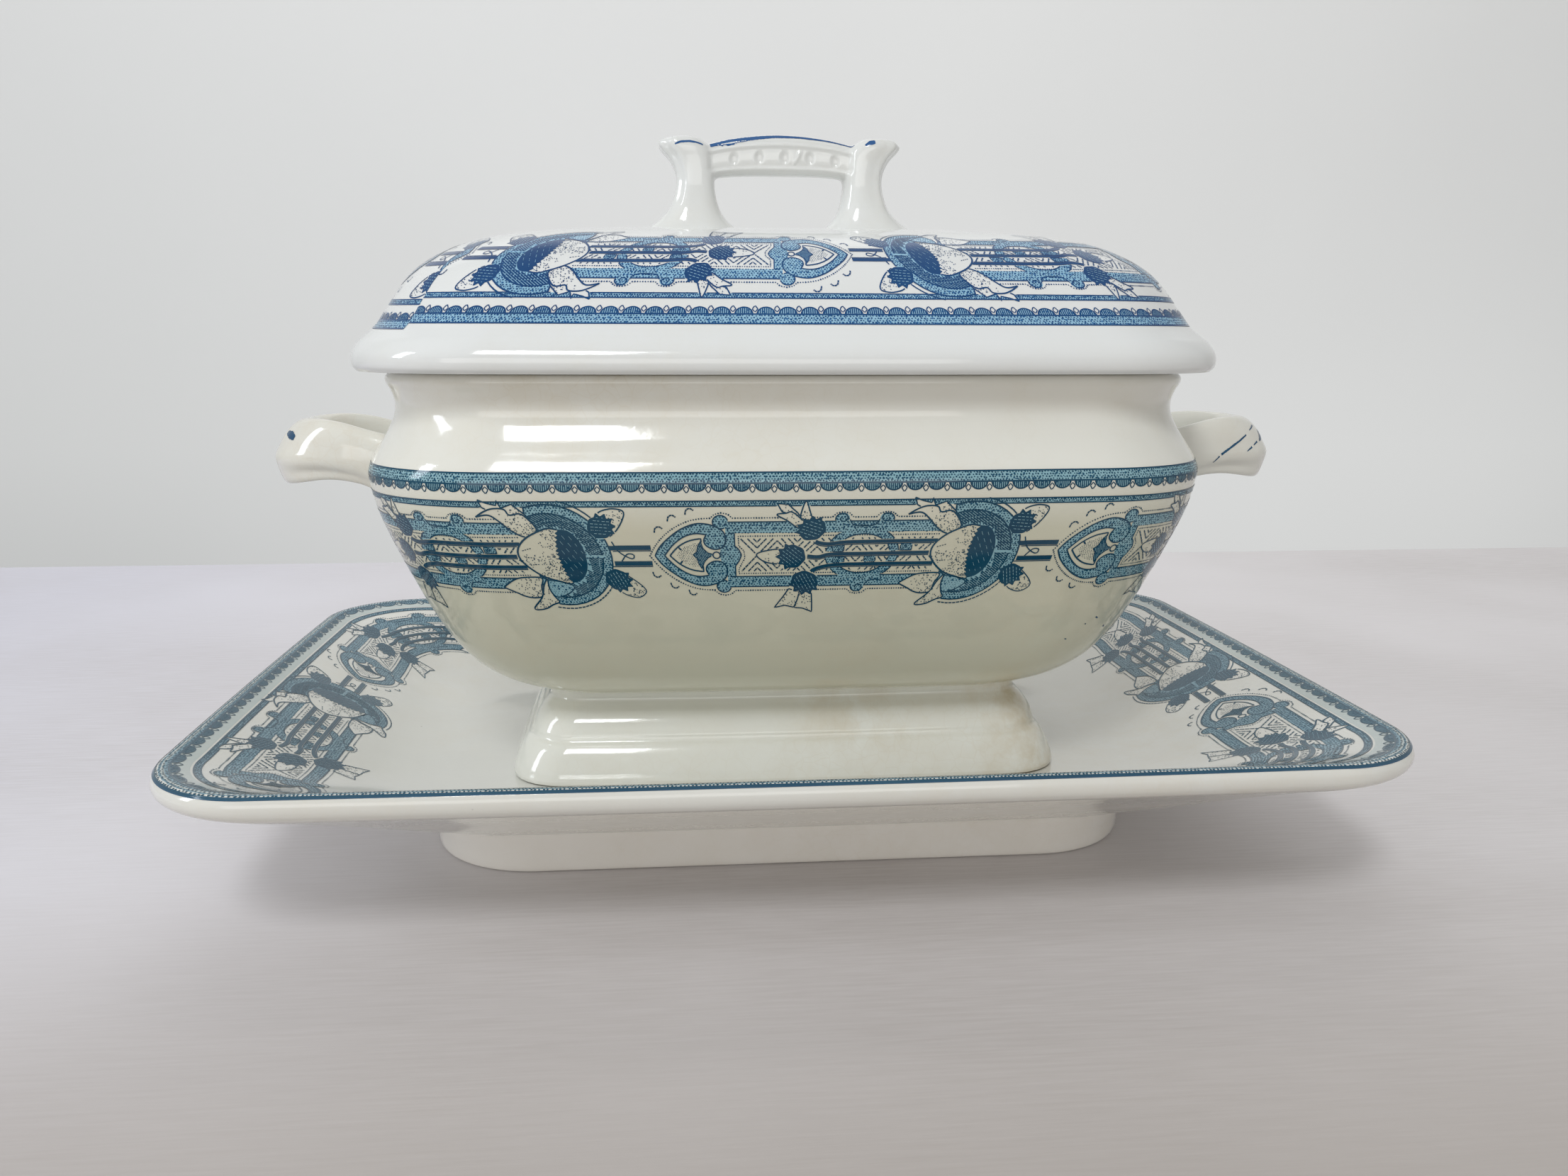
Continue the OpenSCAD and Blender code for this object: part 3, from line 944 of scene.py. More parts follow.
def flat_ink(drawing):
    """For each shade, the corners (x, y, lift) and the faces of one repeat."""
    corners = {TONE: [], DARK: []}
    faces = {TONE: [], DARK: []}
    count = {TONE: 0, DARK: 0}

    def put(shade, flat, shape, lift):
        corners[shade].append(np.column_stack([flat, np.full(len(flat), lift)]))
        faces[shade] += [tuple(count[shade] + corner for corner in face) for face in shape]
        count[shade] += len(flat)

    points, found = fill_triangles(drawing)
    for shade in (TONE, DARK):
        used, shape = np.unique(np.array(found[shade]), return_inverse=True)
        put(shade, points[used], shape.reshape(-1, 3).tolist(), FILL_LIFT)
    for path, width, shade, level in drawing.lines:
        for start, end in runs(drawing.shown(path, level)):
            strip = ribbon(path[start:end], width)
            shape = [(2 * i, 2 * i + 1, 2 * i + 3, 2 * i + 2) for i in range(end - start - 1)]
            put(shade, strip, shape, LINE_LIFT if shade == DARK else LIGHT_LIFT)
    for points, radius, level in drawing.dots:
        points = points[drawing.shown(points, level)]
        if not len(points):
            continue
        size = radius * drawing.random.uniform(0.8, 1.2, (len(points), 1))
        turn = drawing.random.uniform(0, math.pi / 2, len(points))
        arm = np.column_stack([np.cos(turn), np.sin(turn)]) * size
        other = np.column_stack([-arm[:, 1], arm[:, 0]])
        flat = np.stack([points + arm, points + other, points - arm, points - other], 1).reshape(-1, 2)
        shape = [(4 * i, 4 * i + 1, 4 * i + 2, 4 * i + 3) for i in range(len(points))]
        put(DARK, flat, shape, LINE_LIFT)
    return {shade: (np.concatenate(corners[shade]), faces[shade]) for shade in (TONE, DARK)}


def draw_bands(drawing):
    """The stippled band, the scallops hanging from it and the thin band."""
    edge = 3.2
    scallops = 20
    pitch = REPEAT / scallops
    drawing.area(rectangle(0, 0, REPEAT, edge), TONE, ground=0.92)
    for y in (0, edge):
        drawing.line([(0, y), (REPEAT, y)], 0.36, step=1.5)
    for index in range(scallops):
        middle = (index + 0.5) * pitch
        half = pitch / 2 - 0.65
        shape = ellipse(middle, edge, half, 2.3, 0, 180)
        drawing.area(shape, TONE)
        drawing.hatch(shape, 0.62, 90, 0.27)
        drawing.line(shape, 0.32)
        tip = (index + 1) * pitch
        diamond = [(tip - 0.85, 4.9), (tip, 3.9), (tip + 0.85, 4.9), (tip, 6.1)]
        drawing.area(np.array(diamond) - [REPEAT if index == scallops - 1 else 0, 0], CLEAR, edge=0.24)
    drawing.area(rectangle(0, 8.5, REPEAT, 10.1), TONE, ground=0.75)
    for y in (8.5, 10.1):
        drawing.line([(0, y), (REPEAT, y)], 0.3, step=1.5)


def bumpy_line(y, start, end, bumps, rise):
    """A straight line with low round bumps on it."""
    path = [(start, y)]
    for middle in bumps:
        path += [(middle - 3.3, y), (middle - 2, y + rise * 0.75), (middle, y + rise),
                 (middle + 2, y + rise * 0.75), (middle + 3.3, y)]
    return path + [(end, y)]


def draw_heart(drawing):
    """The stippled heart with two volutes that ends the panel, round a small pointed field."""
    upper = curve((0, MIDDLE), (1.8, 23.4), (4.6, 20), (8.3, 17), (12.5, 14.9), (16, 14.1), (19.3, 13.9))
    drawing.dotted(upper)
    drawing.dotted(mirrored(upper))
    band_upper = curve((1.6, MIDDLE), (3.4, 23.4), (6.6, 20.2), (10.8, 17.2), (15.4, 15.6), (19.8, 16.2),
                       (23, 18.2), (23.8, 21.2), (22.6, 23.7), (20, 24.3), (17.7, 23), (17.1, 21.2),
                       (18, 19.3))
    band_inner = curve((18, 19.3), (14.6, 18.9), (11, 20), (7.4, 22.8), (4.5, MIDDLE))
    half = np.concatenate([band_upper, band_inner[1:]])
    heart = np.concatenate([half, mirrored(half)[::-1]])
    for sign in (1, -1):
        knob = np.array([22.4, MIDDLE - sign * 11.2])
        drawing.area(ellipse(*knob, 2.3, 2.2), TONE, edge=LINE, ground=0.95)
    drawing.area(rectangle(23.8, 15.2, 26.4, 37.8), TONE, ground=0.95)
    drawing.area(ellipse(25, MIDDLE, 3.3, 4.4), TONE, ground=0.95)
    drawing.area(heart, TONE, ground=0.95)
    drawing.line(half, 0.34)
    drawing.line(mirrored(half), 0.34)
    field_upper = curve((6.2, MIDDLE), (9, 23.4), (12.4, 21.4), (16.2, 20.6))
    field = np.concatenate([field_upper, mirrored(field_upper)[::-1]])
    drawing.area(field, CLEAR, edge=0.36)
    inner = (field - [12, MIDDLE]) * [0.76, 0.76] + [12.4, MIDDLE]
    drawing.stipple(inner, 0.7, 0.17)
    trefoil = [(13.4, 26.2), (14.7, 25.2), (15, 23.4), (16, 21.6), (16.6, 24), (18, 25.6), (20, 26.2),
               (18, 27.2), (16.6, 28.8), (15.8, 31.2), (14.9, 29.2), (14.6, 27.4)]
    drawing.area(trefoil, TONE, edge=0.28)
    drawing.hatch(trefoil, 0.5, 70, 0.24)
    drawing.area(ellipse(20.7, MIDDLE, 1.15, 1.15), CLEAR, edge=0.32)
    for x, y in ((9.2, 23.6), (9.2, 29.2)):
        drawing.line([(x, y), (x + 0.7, y + (0.9 if y < MIDDLE else -0.9))], 0.4, step=0.3)


def draw_hooks(drawing):
    """Small curls outside the heart."""
    for x, y, turn in ((13.3, 12.2, 1), (7.9, 14.3, 1), (3.6, 18, 1), (1.2, 32.6, -1), (6.4, 36.6, -1),
                       (12, 39.2, -1)):
        hook = curve((x - 1.2, y + 0.5 * turn), (x - 0.9, y - 0.9 * turn), (x + 0.3, y - 1.5 * turn),
                     (x + 1.3, y - 0.8 * turn))
        drawing.line(hook, 0.34, dash=0.8, gap=0.12)


def draw_panel(drawing):
    """The long panel behind the stems: stippled bars, a lattice and an interlaced oval strap."""
    end = 90
    drawing.dotted(bumpy_line(13.9, 19.3, end - 3, (22.75, 59.5, 73), -1.7))
    drawing.dotted(bumpy_line(2 * MIDDLE - 13.6, 19.3, end - 3, (22.75, 66.3), 1.7))
    for top, bottom in ((15.2, 18.9), (34.1, 37.8)):
        drawing.area(rectangle(25.8, top, end, bottom), TONE, ground=0.95)
        for y in (top, bottom):
            drawing.line([(24.6, y), (end, y)])
    frame = [(26.5, 18.9), (26.5, 23.3), (27.6, 24.3), (28.5, 26.4), (27.6, 28.6), (26.4, 30.3),
             (26.4, 34.1), (end, 34.1), (end, 18.9)]
    drawing.area(frame, CLEAR)
    drawing.line(frame[:-2], LINE)
    dots = [(end, 19.9), (27.7, 19.9), (27.7, 23.2), (29.3, 25), (29.5, 27.4), (27.5, 31.4), (27.5, 33),
            (end, 33)]
    drawing.dotted(dots, gap=0.75, radius=0.27)
    pitch = 12.5
    for index in range(5):
        middle = 33.4 + index * pitch
        for way in (-1, 1):
            drawing.line([(middle - 5 * way, 20.8), (middle + 5 * way, 32.2)], 0.32, dash=1.3, gap=0.2)
            for reach in (2.9, 1.1):
                for edge, down in ((20.8, 1), (32.2, -1)):
                    drawing.line([(middle - reach * way, edge), (middle, edge + 1.1 * reach * down)], 0.3,
                                 dash=1.3, gap=0.2)
            far = middle + pitch / 2
            for reach in (2.4, 4.4):
                for start in (far - reach, far + reach):
                    drawing.line([(start, MIDDLE), (far, MIDDLE + 1.1 * reach * way)], 0.3, dash=1.3, gap=0.2)
    middle = 66.5
    for start, finish in ((186, 354), (6, 174)):
        outer = ellipse(middle, MIDDLE, 11.6, 9.4, start, finish)
        inner = ellipse(middle, MIDDLE, 8.8, 6.9, start, finish)
        drawing.area(between_paths(outer, inner), TONE, ground=0.92)
        drawing.line(inner)
    # The strap runs into the bars, so its outer edge shows only beside them
    for start, finish in ((186, 230), (310, 354), (6, 50), (130, 174)):
        drawing.line(ellipse(middle, MIDDLE, 11.6, 9.4, start, finish))
    for x, y, way in ((59.5, 14.3, 1), (73, 14.3, -1), (66.3, 38.4, 1)):
        drawing.area(ellipse(x, y, 2.1, 1.8), TONE, ground=0.95)
        angle = np.linspace(-0.6 * math.pi, 1.7 * math.pi, 24)
        radius = np.linspace(2.3, 0.6, 24)
        side = 1 if y < MIDDLE else -1
        spiral = [x + way * radius * np.sin(angle), y - side * radius * np.cos(angle) * 0.85]
        drawing.line(np.column_stack(spiral), 0.3, step=0.35)
        drawing.line(curve((x + way * 2.2, y + side * 0.4), (x + way * 3.2, y + side * 2),
                           (x + way * 5.6, y + side * 2.6), (x + way * 8, y + side * 2.2)), 0.28)


def draw_stems(drawing):
    """Three dark stems from the left buds to the flower, with small stippled ties between them."""
    for x, y1, y2 in ((57, 23.4, 25.6), (57.4, 27.4, 29.6), (67.4, 27.2, 29.4), (78.5, 23, 25.4)):
        drawing.area(rectangle(x, y1, x + 3.6, y2), TONE, edge=0.26, ground=0.7)
    for path in (
            curve((50.3, 20.4), (52, 22.2), (55.6, 22.9), (60, 22.4), (66, 22.2), (90, 22.1)),
            curve((48.2, 26.9), (52.6, 27.4), (55.6, 26.6), (60, 26.4), (66, 26.4), (90, 26.3)),
            curve((49.2, 34), (51.4, 31.9), (55, 30.7), (60, 30.2), (66, 30.1), (90, 30.1))):
        drawing.area(between_paths(path + [0, -0.75], path + [0, 0.95]), CLEAR)
        drawing.line(path, 0.85, step=1)
        drawing.line(path + [0, 0.85], 0.24, step=1)


def calyx(drawing, x, y, radius_x, radius_y, turn, toward):
    """A dark scaly calyx with light flecks.

    toward is the way its petals grow, in degrees. There it ends in pointed teeth.
    """
    angle = np.radians(np.arange(0, 360, 5))
    away = np.abs((angle - math.radians(toward) + math.pi) % (2 * math.pi) - math.pi)
    teeth = np.abs((away / math.radians(32)) % 1 - 0.5) * 2
    lobes = np.where(away < math.radians(80), 0.94 + 0.34 * teeth ** 1.5, 1 + 0.03 * np.sin(angle * 7))
    lean = math.radians(turn)
    across = radius_x * lobes * np.cos(angle - lean)
    up = radius_y * lobes * np.sin(angle - lean)
    shape = np.column_stack([x + across * math.cos(lean) - up * math.sin(lean),
                             y + across * math.sin(lean) + up * math.cos(lean)])
    drawing.area(shape, DARK)
    inner = (shape - [x, y]) * 0.8 + [x, y]
    drawing.hatch(inner, 1.05, turn + 40, 0.13, TONE, dash=0.9, rest=0.4)


def petal(drawing, outline, start, end, width=0.32):
    """A pale petal or leaf with an engraved outline, shaded towards one end."""
    shape = np.array(outline, float)
    drawing.area(shape, CLEAR, edge=width)
    drawing.shading(shape, start, end)


def draw_left_buds(drawing):
    """Three buds at the left ends of the stems."""
    petal(drawing, [(39.6, 9.4), (43, 9.7), (44.4, 11.2), (45.6, 12.2), (47.6, 15.2), (45, 13.4),
                    (41, 12)], (40, 9), (48, 16))
    petal(drawing, loop((39.4, 12.9), (42.2, 12.5), (44, 12.1), (47, 14.6), (48.4, 17.4), (46, 17.4),
                        (42.8, 15)), (40, 13), (49, 17))
    petal(drawing, loop((48.2, 8.6), (49.2, 11.2), (50.3, 15), (49.8, 16.2), (46.8, 14.2), (47, 11.6)),
          (48, 9), (49, 16))
    calyx(drawing, 50.3, 17.9, 4.3, 3.6, -20, 235)
    petal(drawing, loop((33.1, MIDDLE), (36.2, 25), (41.2, 24.6), (42.6, 27), (41, 29.6), (36, 29)),
          (34, 26), (43, 28))
    calyx(drawing, 44.4, 27.2, 4.2, 4.1, 0, 180)
    petal(drawing, [(43.6, 38.8), (41.6, 42), (38.9, 45.8), (42.5, 45), (45.5, 45.8), (47.4, 41.8),
                    (47, 39.8)], (40, 46), (46, 39))
    petal(drawing, [(47.3, 40), (46.6, 43), (45.6, 45.9), (48.6, 46.2), (51.8, 47.6), (51.6, 44),
                    (51.2, 40.2)], (49, 48), (49, 40))
    calyx(drawing, 48.7, 36.4, 4.5, 3.9, 20, 100)


def draw_leaf_disc(drawing):
    """The big round leaf behind the flower: a stippled rim round a hatched middle."""
    x, y = 99.8, 26.6
    reach = 110
    drawing.line(ellipse(x, y, 18.7, 18.7, -78, -22), 0.32)
    drawing.line(ellipse(x, y, 18.7, 18.7, 22, 104), 0.32, dash=1.1, gap=0.25)
    disc = ellipse(x, y, 17.3, 17.3, -reach, reach)
    drawing.area(disc, TONE, edge=0.36)
    drawing.stipple(disc, 0.92)
    middle = ellipse(x, y, 14.5, 14.5, -reach - 8, reach + 8)
    drawing.area(middle, TONE, edge=0.34)
    drawing.hatch(middle, 0.62, 35, 0.32, dash=3.2, rest=0.25)
    drawing.hatch(ellipse(x + 1, y - 3, 11, 10, -120, 60), 0.9, 75, 0.2, dash=1.4, rest=0.4)
    corner = loop((94.6, 35), (99.6, 35.6), (102.8, 37.2), (100.6, 39.6), (96.4, 41), (94.4, 38.6))
    drawing.area(corner, TONE, edge=0.3)
    drawing.stipple(corner, 0.9, 0.17)


def draw_leaves(drawing):
    """Pale curling leaves above and below the flower."""
    petal(drawing, [(81, 7.9), (83.4, 8.9), (86.2, 9.6), (86.4, 8), (87.4, 10.4), (90.6, 9.2), (94, 12.4),
                    (96.4, 16.4), (94.4, 16), (91, 12.9), (88.4, 12.4), (84, 11.4), (81.8, 10.2)],
          (82, 8), (97, 17))
    petal(drawing, curve((79.4, 13.2), (82, 11.6), (84.8, 10.6), (88.2, 10.8), (89.4, 12.6), (92.6, 12.2),
                         (95, 14.4), (96.4, 17.4), (93.6, 19.6), (91.4, 19.4), (88.8, 17.6), (85.8, 14.4),
                         (83.2, 12.6), (79.4, 13.2)), (82, 12), (93, 20), 0.36)
    petal(drawing, curve((80, 37.4), (82, 36), (85.4, 34.2), (90, 33.7), (93.4, 34.2), (92.2, 37.4),
                         (91.6, 40.6), (88.6, 41.2), (85.8, 40.6), (83.4, 39.2), (80, 37.4)),
          (82, 37), (92, 41), 0.36)
    petal(drawing, curve((95.2, 33.8), (93.2, 36.6), (91.2, 41), (87.2, 45.3), (90.8, 45.4), (94, 43.8),
                         (96.4, 42.8), (95.4, 40.8), (94.6, 37.6), (95.2, 33.8)), (96, 36), (90, 46), 0.36)


def draw_flower(drawing):
    """The flower seen from the side: pale petals and a dark ragged heart."""
    pale = curve((102.4, 17.3), (99.6, 16.9), (96.4, 18), (92.6, 20), (89.8, 22.6), (88.6, 25.2), (89, 28),
                 (91.2, 31), (94.4, 33.6), (98.6, 35.2), (103, 35.9), (104, 30), (104, 22), (102.4, 17.3))
    drawing.area(pale, CLEAR, edge=0.42)
    drawing.shading(pale, (93, 20), (101, 37), gap=0.55)
    drawing.shading(pale, (96, 26), (102, 23), gap=0.8)
    for x1, y1, x2, y2 in ((90.4, 26.6, 93.6, 27), (90.2, 24.4, 93, 23.6), (91.2, 29.4, 94, 29.2)):
        drawing.line([(x1, y1), (x2, y2)], 0.2, dash=0.5, gap=0.3, step=0.4)
    ragged = []
    for index, y in enumerate(np.linspace(35.2, 17.8, 25)):
        bow = 1.5 * math.cos((y - MIDDLE) / 9 * math.pi / 2)
        ragged.append((102.6 - bow - (0.8 if index % 2 else 0), y))
    heart = np.concatenate([
        curve((102.4, 17.2), (105.6, 17.8), (107.8, 20.4), (109, 24), (109, 29.2), (107.8, 32.6),
              (105.6, 35), (102.8, 35.9)), ragged])
    drawing.area(heart, DARK)
    drawing.hatch((heart - [105, MIDDLE]) * 0.8 + [105.3, MIDDLE], 1.7, 62, 0.09, TONE, dash=1.4, rest=1.4)
    drawing.line([(109.2, 26.3), (115.4, 26.6)], 0.7, TONE)


def draw_link(drawing):
    """The two bars that join the leaf to the next heart, with a small loop between them."""
    for path in (
            curve((112.6, 18.6), (112.4, 21), (114, 23.2), (117, 23.8), (120, 23.7), (REPEAT + 0.6, 23.7)),
            curve((114.8, 33.6), (113.4, 31.6), (114.2, 29.6), (117, 29.2), (120, 29.2),
                  (REPEAT + 0.4, 29.2))):
        drawing.line(path, 0.95, step=0.9)
        drawing.line(path + [0, 0.95], 0.24, step=0.9)
        drawing.line(path - [0, 0.8], 0.2, step=0.9)
    drawing.line(curve((118, 21.4), (119.4, 24.6), (121.6, 26.6), (123.6, 27.4), (124, 26), (122, 25.8),
                       (120, 28.2)), 0.3)


def draw_right_buds(drawing):
    """Two buds on the right of the leaf."""
    petal(drawing, loop((114.8, 13), (118.6, 10.8), (122.8, 11.4), (122.4, 14.2), (119.6, 18.2),
                        (116.4, 19.6)), (116, 14), (123, 14))
    calyx(drawing, 115.4, 16.6, 3.9, 3.7, -35, 325)
    petal(drawing, loop((118.4, 32.6), (121.8, 34.2), (125.8, 38.8), (122.6, 41.4), (117.4, 38.8)),
          (119, 36), (125, 39), 0.26)
    calyx(drawing, 117.4, 34.9, 4, 3.7, 30, 30)


def draw_repeat():
    """One whole repeat of the border, as corners and faces of each shade."""
    drawing = Drawing(7)
    draw_bands(drawing)
    draw_hooks(drawing)
    draw_link(drawing)
    draw_heart(drawing)
    draw_panel(drawing)
    draw_stems(drawing)
    draw_leaf_disc(drawing)
    draw_leaves(drawing)
    draw_flower(drawing)
    draw_right_buds(drawing)
    draw_left_buds(drawing)
    return flat_ink(drawing)


# ---------------------------------------------------------------- laying the print on the glaze

class Band:
    """Places on a skin by arc length along one of its rings, from the middle of the front to the right."""

    def __init__(self, skin, along):
        self.skin = skin
        zones = np.linspace(9, 21, 4801)
        ring = skin.at(zones, np.full(len(zones), along))
        self.zones = zones
        self.lengths = lengths_along(ring)
        self.around = self.lengths[-1]

    def zone(self, place):
        return np.interp(np.mod(place, self.around), self.lengths, self.zones)

    def on_skin(self, place, along, lift):
        """Points and normals on the glaze."""
        points = self.skin.at(self.zone(place), along)
        sideways = self.skin.at(self.zone(place + 0.5), along) - self.skin.at(self.zone(place - 0.5), along)
        upward = self.skin.at(self.zone(place), along + 0.3) - self.skin.at(self.zone(place), along - 0.3)
        normals = np.cross(sideways, upward)
        normals /= np.linalg.norm(normals, axis=1)[:, None]
        return points + normals * lift[:, None], normals


def ink_mesh(name, flat, faces, strips, place_on, body, material):
    """Lays every repeat of one shade.

    A strip is (start, end, tip, stride): its repeats start at tip and run stride millimetres each, and are
    cut at start and end.
    """
    corners, shape = [], []
    total = 0
    for start, end, tip, stride in strips:
        scale = stride / REPEAT
        ends = sorted(((start - tip) / stride, (end - tip) / stride))
        for index in range(math.floor(ends[0]) - 1, math.ceil(ends[1]) + 1):
            along = tip + (flat[:, 0] + index * REPEAT) * scale
            kept_corner = (along >= start) & (along <= end)
            if not kept_corner.any():
                continue
            kept = [face for face in faces if any(kept_corner[corner] for corner in face)]
            used = np.unique(np.concatenate([np.array(face) for face in kept]))
            number = np.full(len(flat), -1)
            number[used] = np.arange(total, total + len(used))
            shape += [tuple(number[list(face)].tolist()) for face in kept]
            corners.append(np.column_stack([
                np.clip(along[used], start, end), flat[used, 1] * abs(scale), flat[used, 2]]))
            total += len(used)
    corners = np.concatenate(corners)
    points, normals = place_on(corners[:, 0], corners[:, 1], corners[:, 2])
    face = shape[0]
    turn = np.cross(points[face[1]] - points[face[0]], points[face[2]] - points[face[0]])
    if turn @ normals[face[0]] < 0:
        shape = [corner[::-1] for corner in shape]
    piece = make_mesh(name, points, shape, body, material)
    if len(piece.data.vertices) == len(normals):
        piece.data.normals_split_custom_set_from_vertices(normals.tolist())
    return piece


def ink(name, colour, fade, dots=None):
    """Blue printed ink under the glaze: a tone that drifts a little, with the glaze's own gloss and ripple.

    dots is the colour of the engraver's fine dots over the tone.
    """
    look = Look(name)
    faded = tuple(part + (fade_to - part) * 0.5 for part, fade_to in zip(colour, fade))
    tone = look.blend(look.ramp(look.noise(24, 4, 0.6), 0.35, 0.7), colour, faded)
    if dots:
        cells = look.add("ShaderNodeTexVoronoi", {
            "Vector": look.place, "Scale": DOT_SCALE, "Randomness": 0.55})
        tone = look.blend(look.ramp(cells["Distance"], *DOT_EDGE), tone, dots)
    look.feed(look.shader, {"Base Color": tone, "Normal": look.gloss(1.5)})
    return look.material


# Heights above the base where the border's outer line runs on the bowl and on the lid
BOWL_LINE_HEIGHT = 78.8
LID_LINE_HEIGHT = 14.1
# Length along the stand's section, from its widest point, to its border's outer line
STAND_LINE_ALONG = 3.3
STAND_STRIDE = 143
# Length of a repeat on the bowl
BOWL_STRIDE = 126.3
# Where a repeat starts, from the middle of the front to the right
BOWL_TIP = -47.3
LID_TIP = 17.5
# Where along a repeat the middle of the flower is
FLOWER_MIDDLE = 106
# Dots to a metre in the tones of the print, and where a dot starts and is full, in parts of its cell
DOT_SCALE = 900.0
DOT_EDGE = (0.36, 0.27)


def along_at(skin, height):
    return float(np.interp(height, skin.rows[:, 1], skin.lengths))


def surface_of(piece):
    """The faces of a piece in millimetres, for finding places on it."""
    corners = [vertex.co / MM for vertex in piece.data.vertices]
    return BVHTree.FromPolygons(corners, [tuple(face.vertices) for face in piece.data.polygons])


def lay_print(name, flat, strips, place_on, body, tone, dark):
    for shade, material in ((TONE, tone), (DARK, dark)):
        corners, faces = flat[shade]
        ink_mesh(f"{name}_print_{shade}", corners, faces, strips, place_on, body, material)


def lay_bowl_print(flat):
    """The border on the bowl, with its seam at the back."""
    skin = Skin(BOWL_OUTSIDE, half_sizes("bowl"), BOWL_CORNER, BOWL_TIGHTEN, BOWL_BOW, BOWL_LOW[2])
    line = along_at(skin, BOWL_LINE_HEIGHT)
    band = Band(skin, line)
    seam = band.around / 2 + 115

    def place_on(place, across, lift):
        return band.on_skin(place, line - across, lift)

    lay_print("bowl", flat, [(seam - band.around, seam, BOWL_TIP, BOWL_STRIDE)], place_on, "tureen",
              ink("bowl_tone", (0.24, 0.44, 0.51), (0.35, 0.53, 0.58), (0.01, 0.09, 0.17)),
              ink("bowl_dark", (0.001, 0.045, 0.095), (0.006, 0.085, 0.14)))


def lay_lid_print(flat):
    """The border on the lid, which runs the other way round."""
    line = along_at(lid_skin, LID_LINE_HEIGHT)
    band = Band(lid_skin, line)
    seam = -116
    # The transfer doesn't meet itself at the seam: its far end sits a little low
    slip = 2.3

    def place_on(place, across, lift):
        drop = slip * step(place, seam + band.around - 90, seam + band.around)
        return band.on_skin(place, line + across - drop, lift)

    lay_print("lid", flat, [(seam, seam + band.around, LID_TIP, -REPEAT)], place_on, "lid",
              ink("lid_tone", (0.27, 0.50, 0.68), (0.38, 0.60, 0.74), (0.03, 0.15, 0.36)),
              ink("lid_dark", (0.002, 0.050, 0.175), (0.012, 0.10, 0.26)))


def lay_stand_print(flat):
    """The border on the stand's slope, with a flower in the middle of both ends."""
    widest = [inset for inset, _ in STAND_SECTION].index(0)
    half = half_sizes("stand_dish")
    skin = Skin(STAND_SECTION[widest:], half, STAND_CORNER, STAND_PRINT_TIGHTEN, STAND_BOW, 0)
    band = Band(skin, STAND_LINE_ALONG + MIDDLE)
    dish = surface_of(stand_dish)
    above = STAND_HIGH[2] + 10

    def place_on(place, across, lift):
        points = skin.at(band.zone(place), STAND_LINE_ALONG + across)
        normals = np.empty_like(points)
        for index, (x, y, _) in enumerate(points):
            hit, normal, _, _ = dish.ray_cast(Vector((x, y, above)), Vector((0, 0, -1)))
            points[index] = hit
            normals[index] = normal
        return points + normals * lift[:, None], normals

    def lay_strip(name, first, last, lift, material):
        """A plain closed strip of ink between two distances across the border."""
        columns = 720
        across = np.linspace(first, last, max(2, int((last - first) / 0.7) + 1))
        places = np.linspace(0, band.around, columns, endpoint=False)
        place, over = np.meshgrid(places, across)
        points, normals = place_on(place.ravel(), over.ravel(), np.full(place.size, lift))
        make_mesh(name, points, grid_faces(len(across), columns), "stand", material)

    # The ink ran a little between the bands, and the rim has its own brush line
    lay_strip("stand_wash", 0.3, 8.6, 0.03, ink("stand_wash", (0.50, 0.56, 0.55), (0.60, 0.63, 0.58)))
    lay_strip("stand_rim_line", -0.75, 0.15, 0.13, ink("rim_line", (0.02, 0.075, 0.14), (0.06, 0.15, 0.23)))
    scale = STAND_STRIDE / REPEAT
    quarter = band.around / 4
    flowers = (quarter + 3.3, 3 * quarter - 3.9)
    strips = [(2 * quarter * side, 2 * quarter * (side + 1), flower + FLOWER_MIDDLE * scale, -STAND_STRIDE)
              for side, flower in enumerate(flowers)]
    lay_print("stand", flat, strips, place_on, "stand",
              ink("stand_tone", (0.17, 0.31, 0.39), (0.26, 0.40, 0.46), (0.04, 0.13, 0.20)),
              ink("stand_dark", (0.015, 0.070, 0.115), (0.05, 0.13, 0.18)))


border = draw_repeat()
lay_bowl_print(border)
lay_lid_print(border)
lay_stand_print(border)


# ---------------------------------------------------------------- brush marks

# Height of a mark above the glaze
MARK_LIFT = 0.1
# Each mark is a list of (x, y, z, width) along its middle, near the surface it lies on
GRIP_MARKS = [
    [(-24, -5.4, 237.3, 1.6), (-17, -5.4, 238.7, 2.8), (-10, -5.2, 239.9, 2.1), (-1.6, -5, 240.8, 1.7),
     (7, -5, 240.5, 1.3), (17, -5, 239.4, 1), (26, -5.6, 237.9, 0.6)],
    [(-36, -9.9, 237.3, 0.5), (-34, -9.8, 238.1, 0.7), (-31, -9.4, 238.3, 0.7), (-26.5, -8.4, 237.4, 0.6)],
    [(28.8, -9.1, 237.8, 0.5), (30.5, -9.3, 238.7, 1.8), (32.2, -9.5, 239, 1.2)],
]
RIGHT_HANDLE_MARKS = [
    [(171.5, -11, 142, 0.7), (168.4, -15, 140.6, 0.4)],
    [(166.4, -17.4, 139.4, 0.6), (161, -21.5, 136.4, 0.8), (155.7, -23.5, 133.3, 0.9)],
    [(155, -23.6, 132.7, 0.6), (152.8, -23.6, 130.6, 0.3)],
    [(175.2, -9.2, 141.2, 1), (176.6, -10.5, 139, 2.8), (174.8, -13.5, 137.4, 0.6)],
    [(173, -15.2, 137.2, 0.8), (170.6, -17.2, 136, 0.4)],
    [(169.6, -18.2, 135.4, 0.8), (167, -19.8, 134, 0.3)],
]
LEFT_HANDLE_MARKS = [[(-169, -9.4, 141.4, 1.6), (-166.8, -12.5, 140.5, 3), (-165, -15.2, 139.6, 2)]]
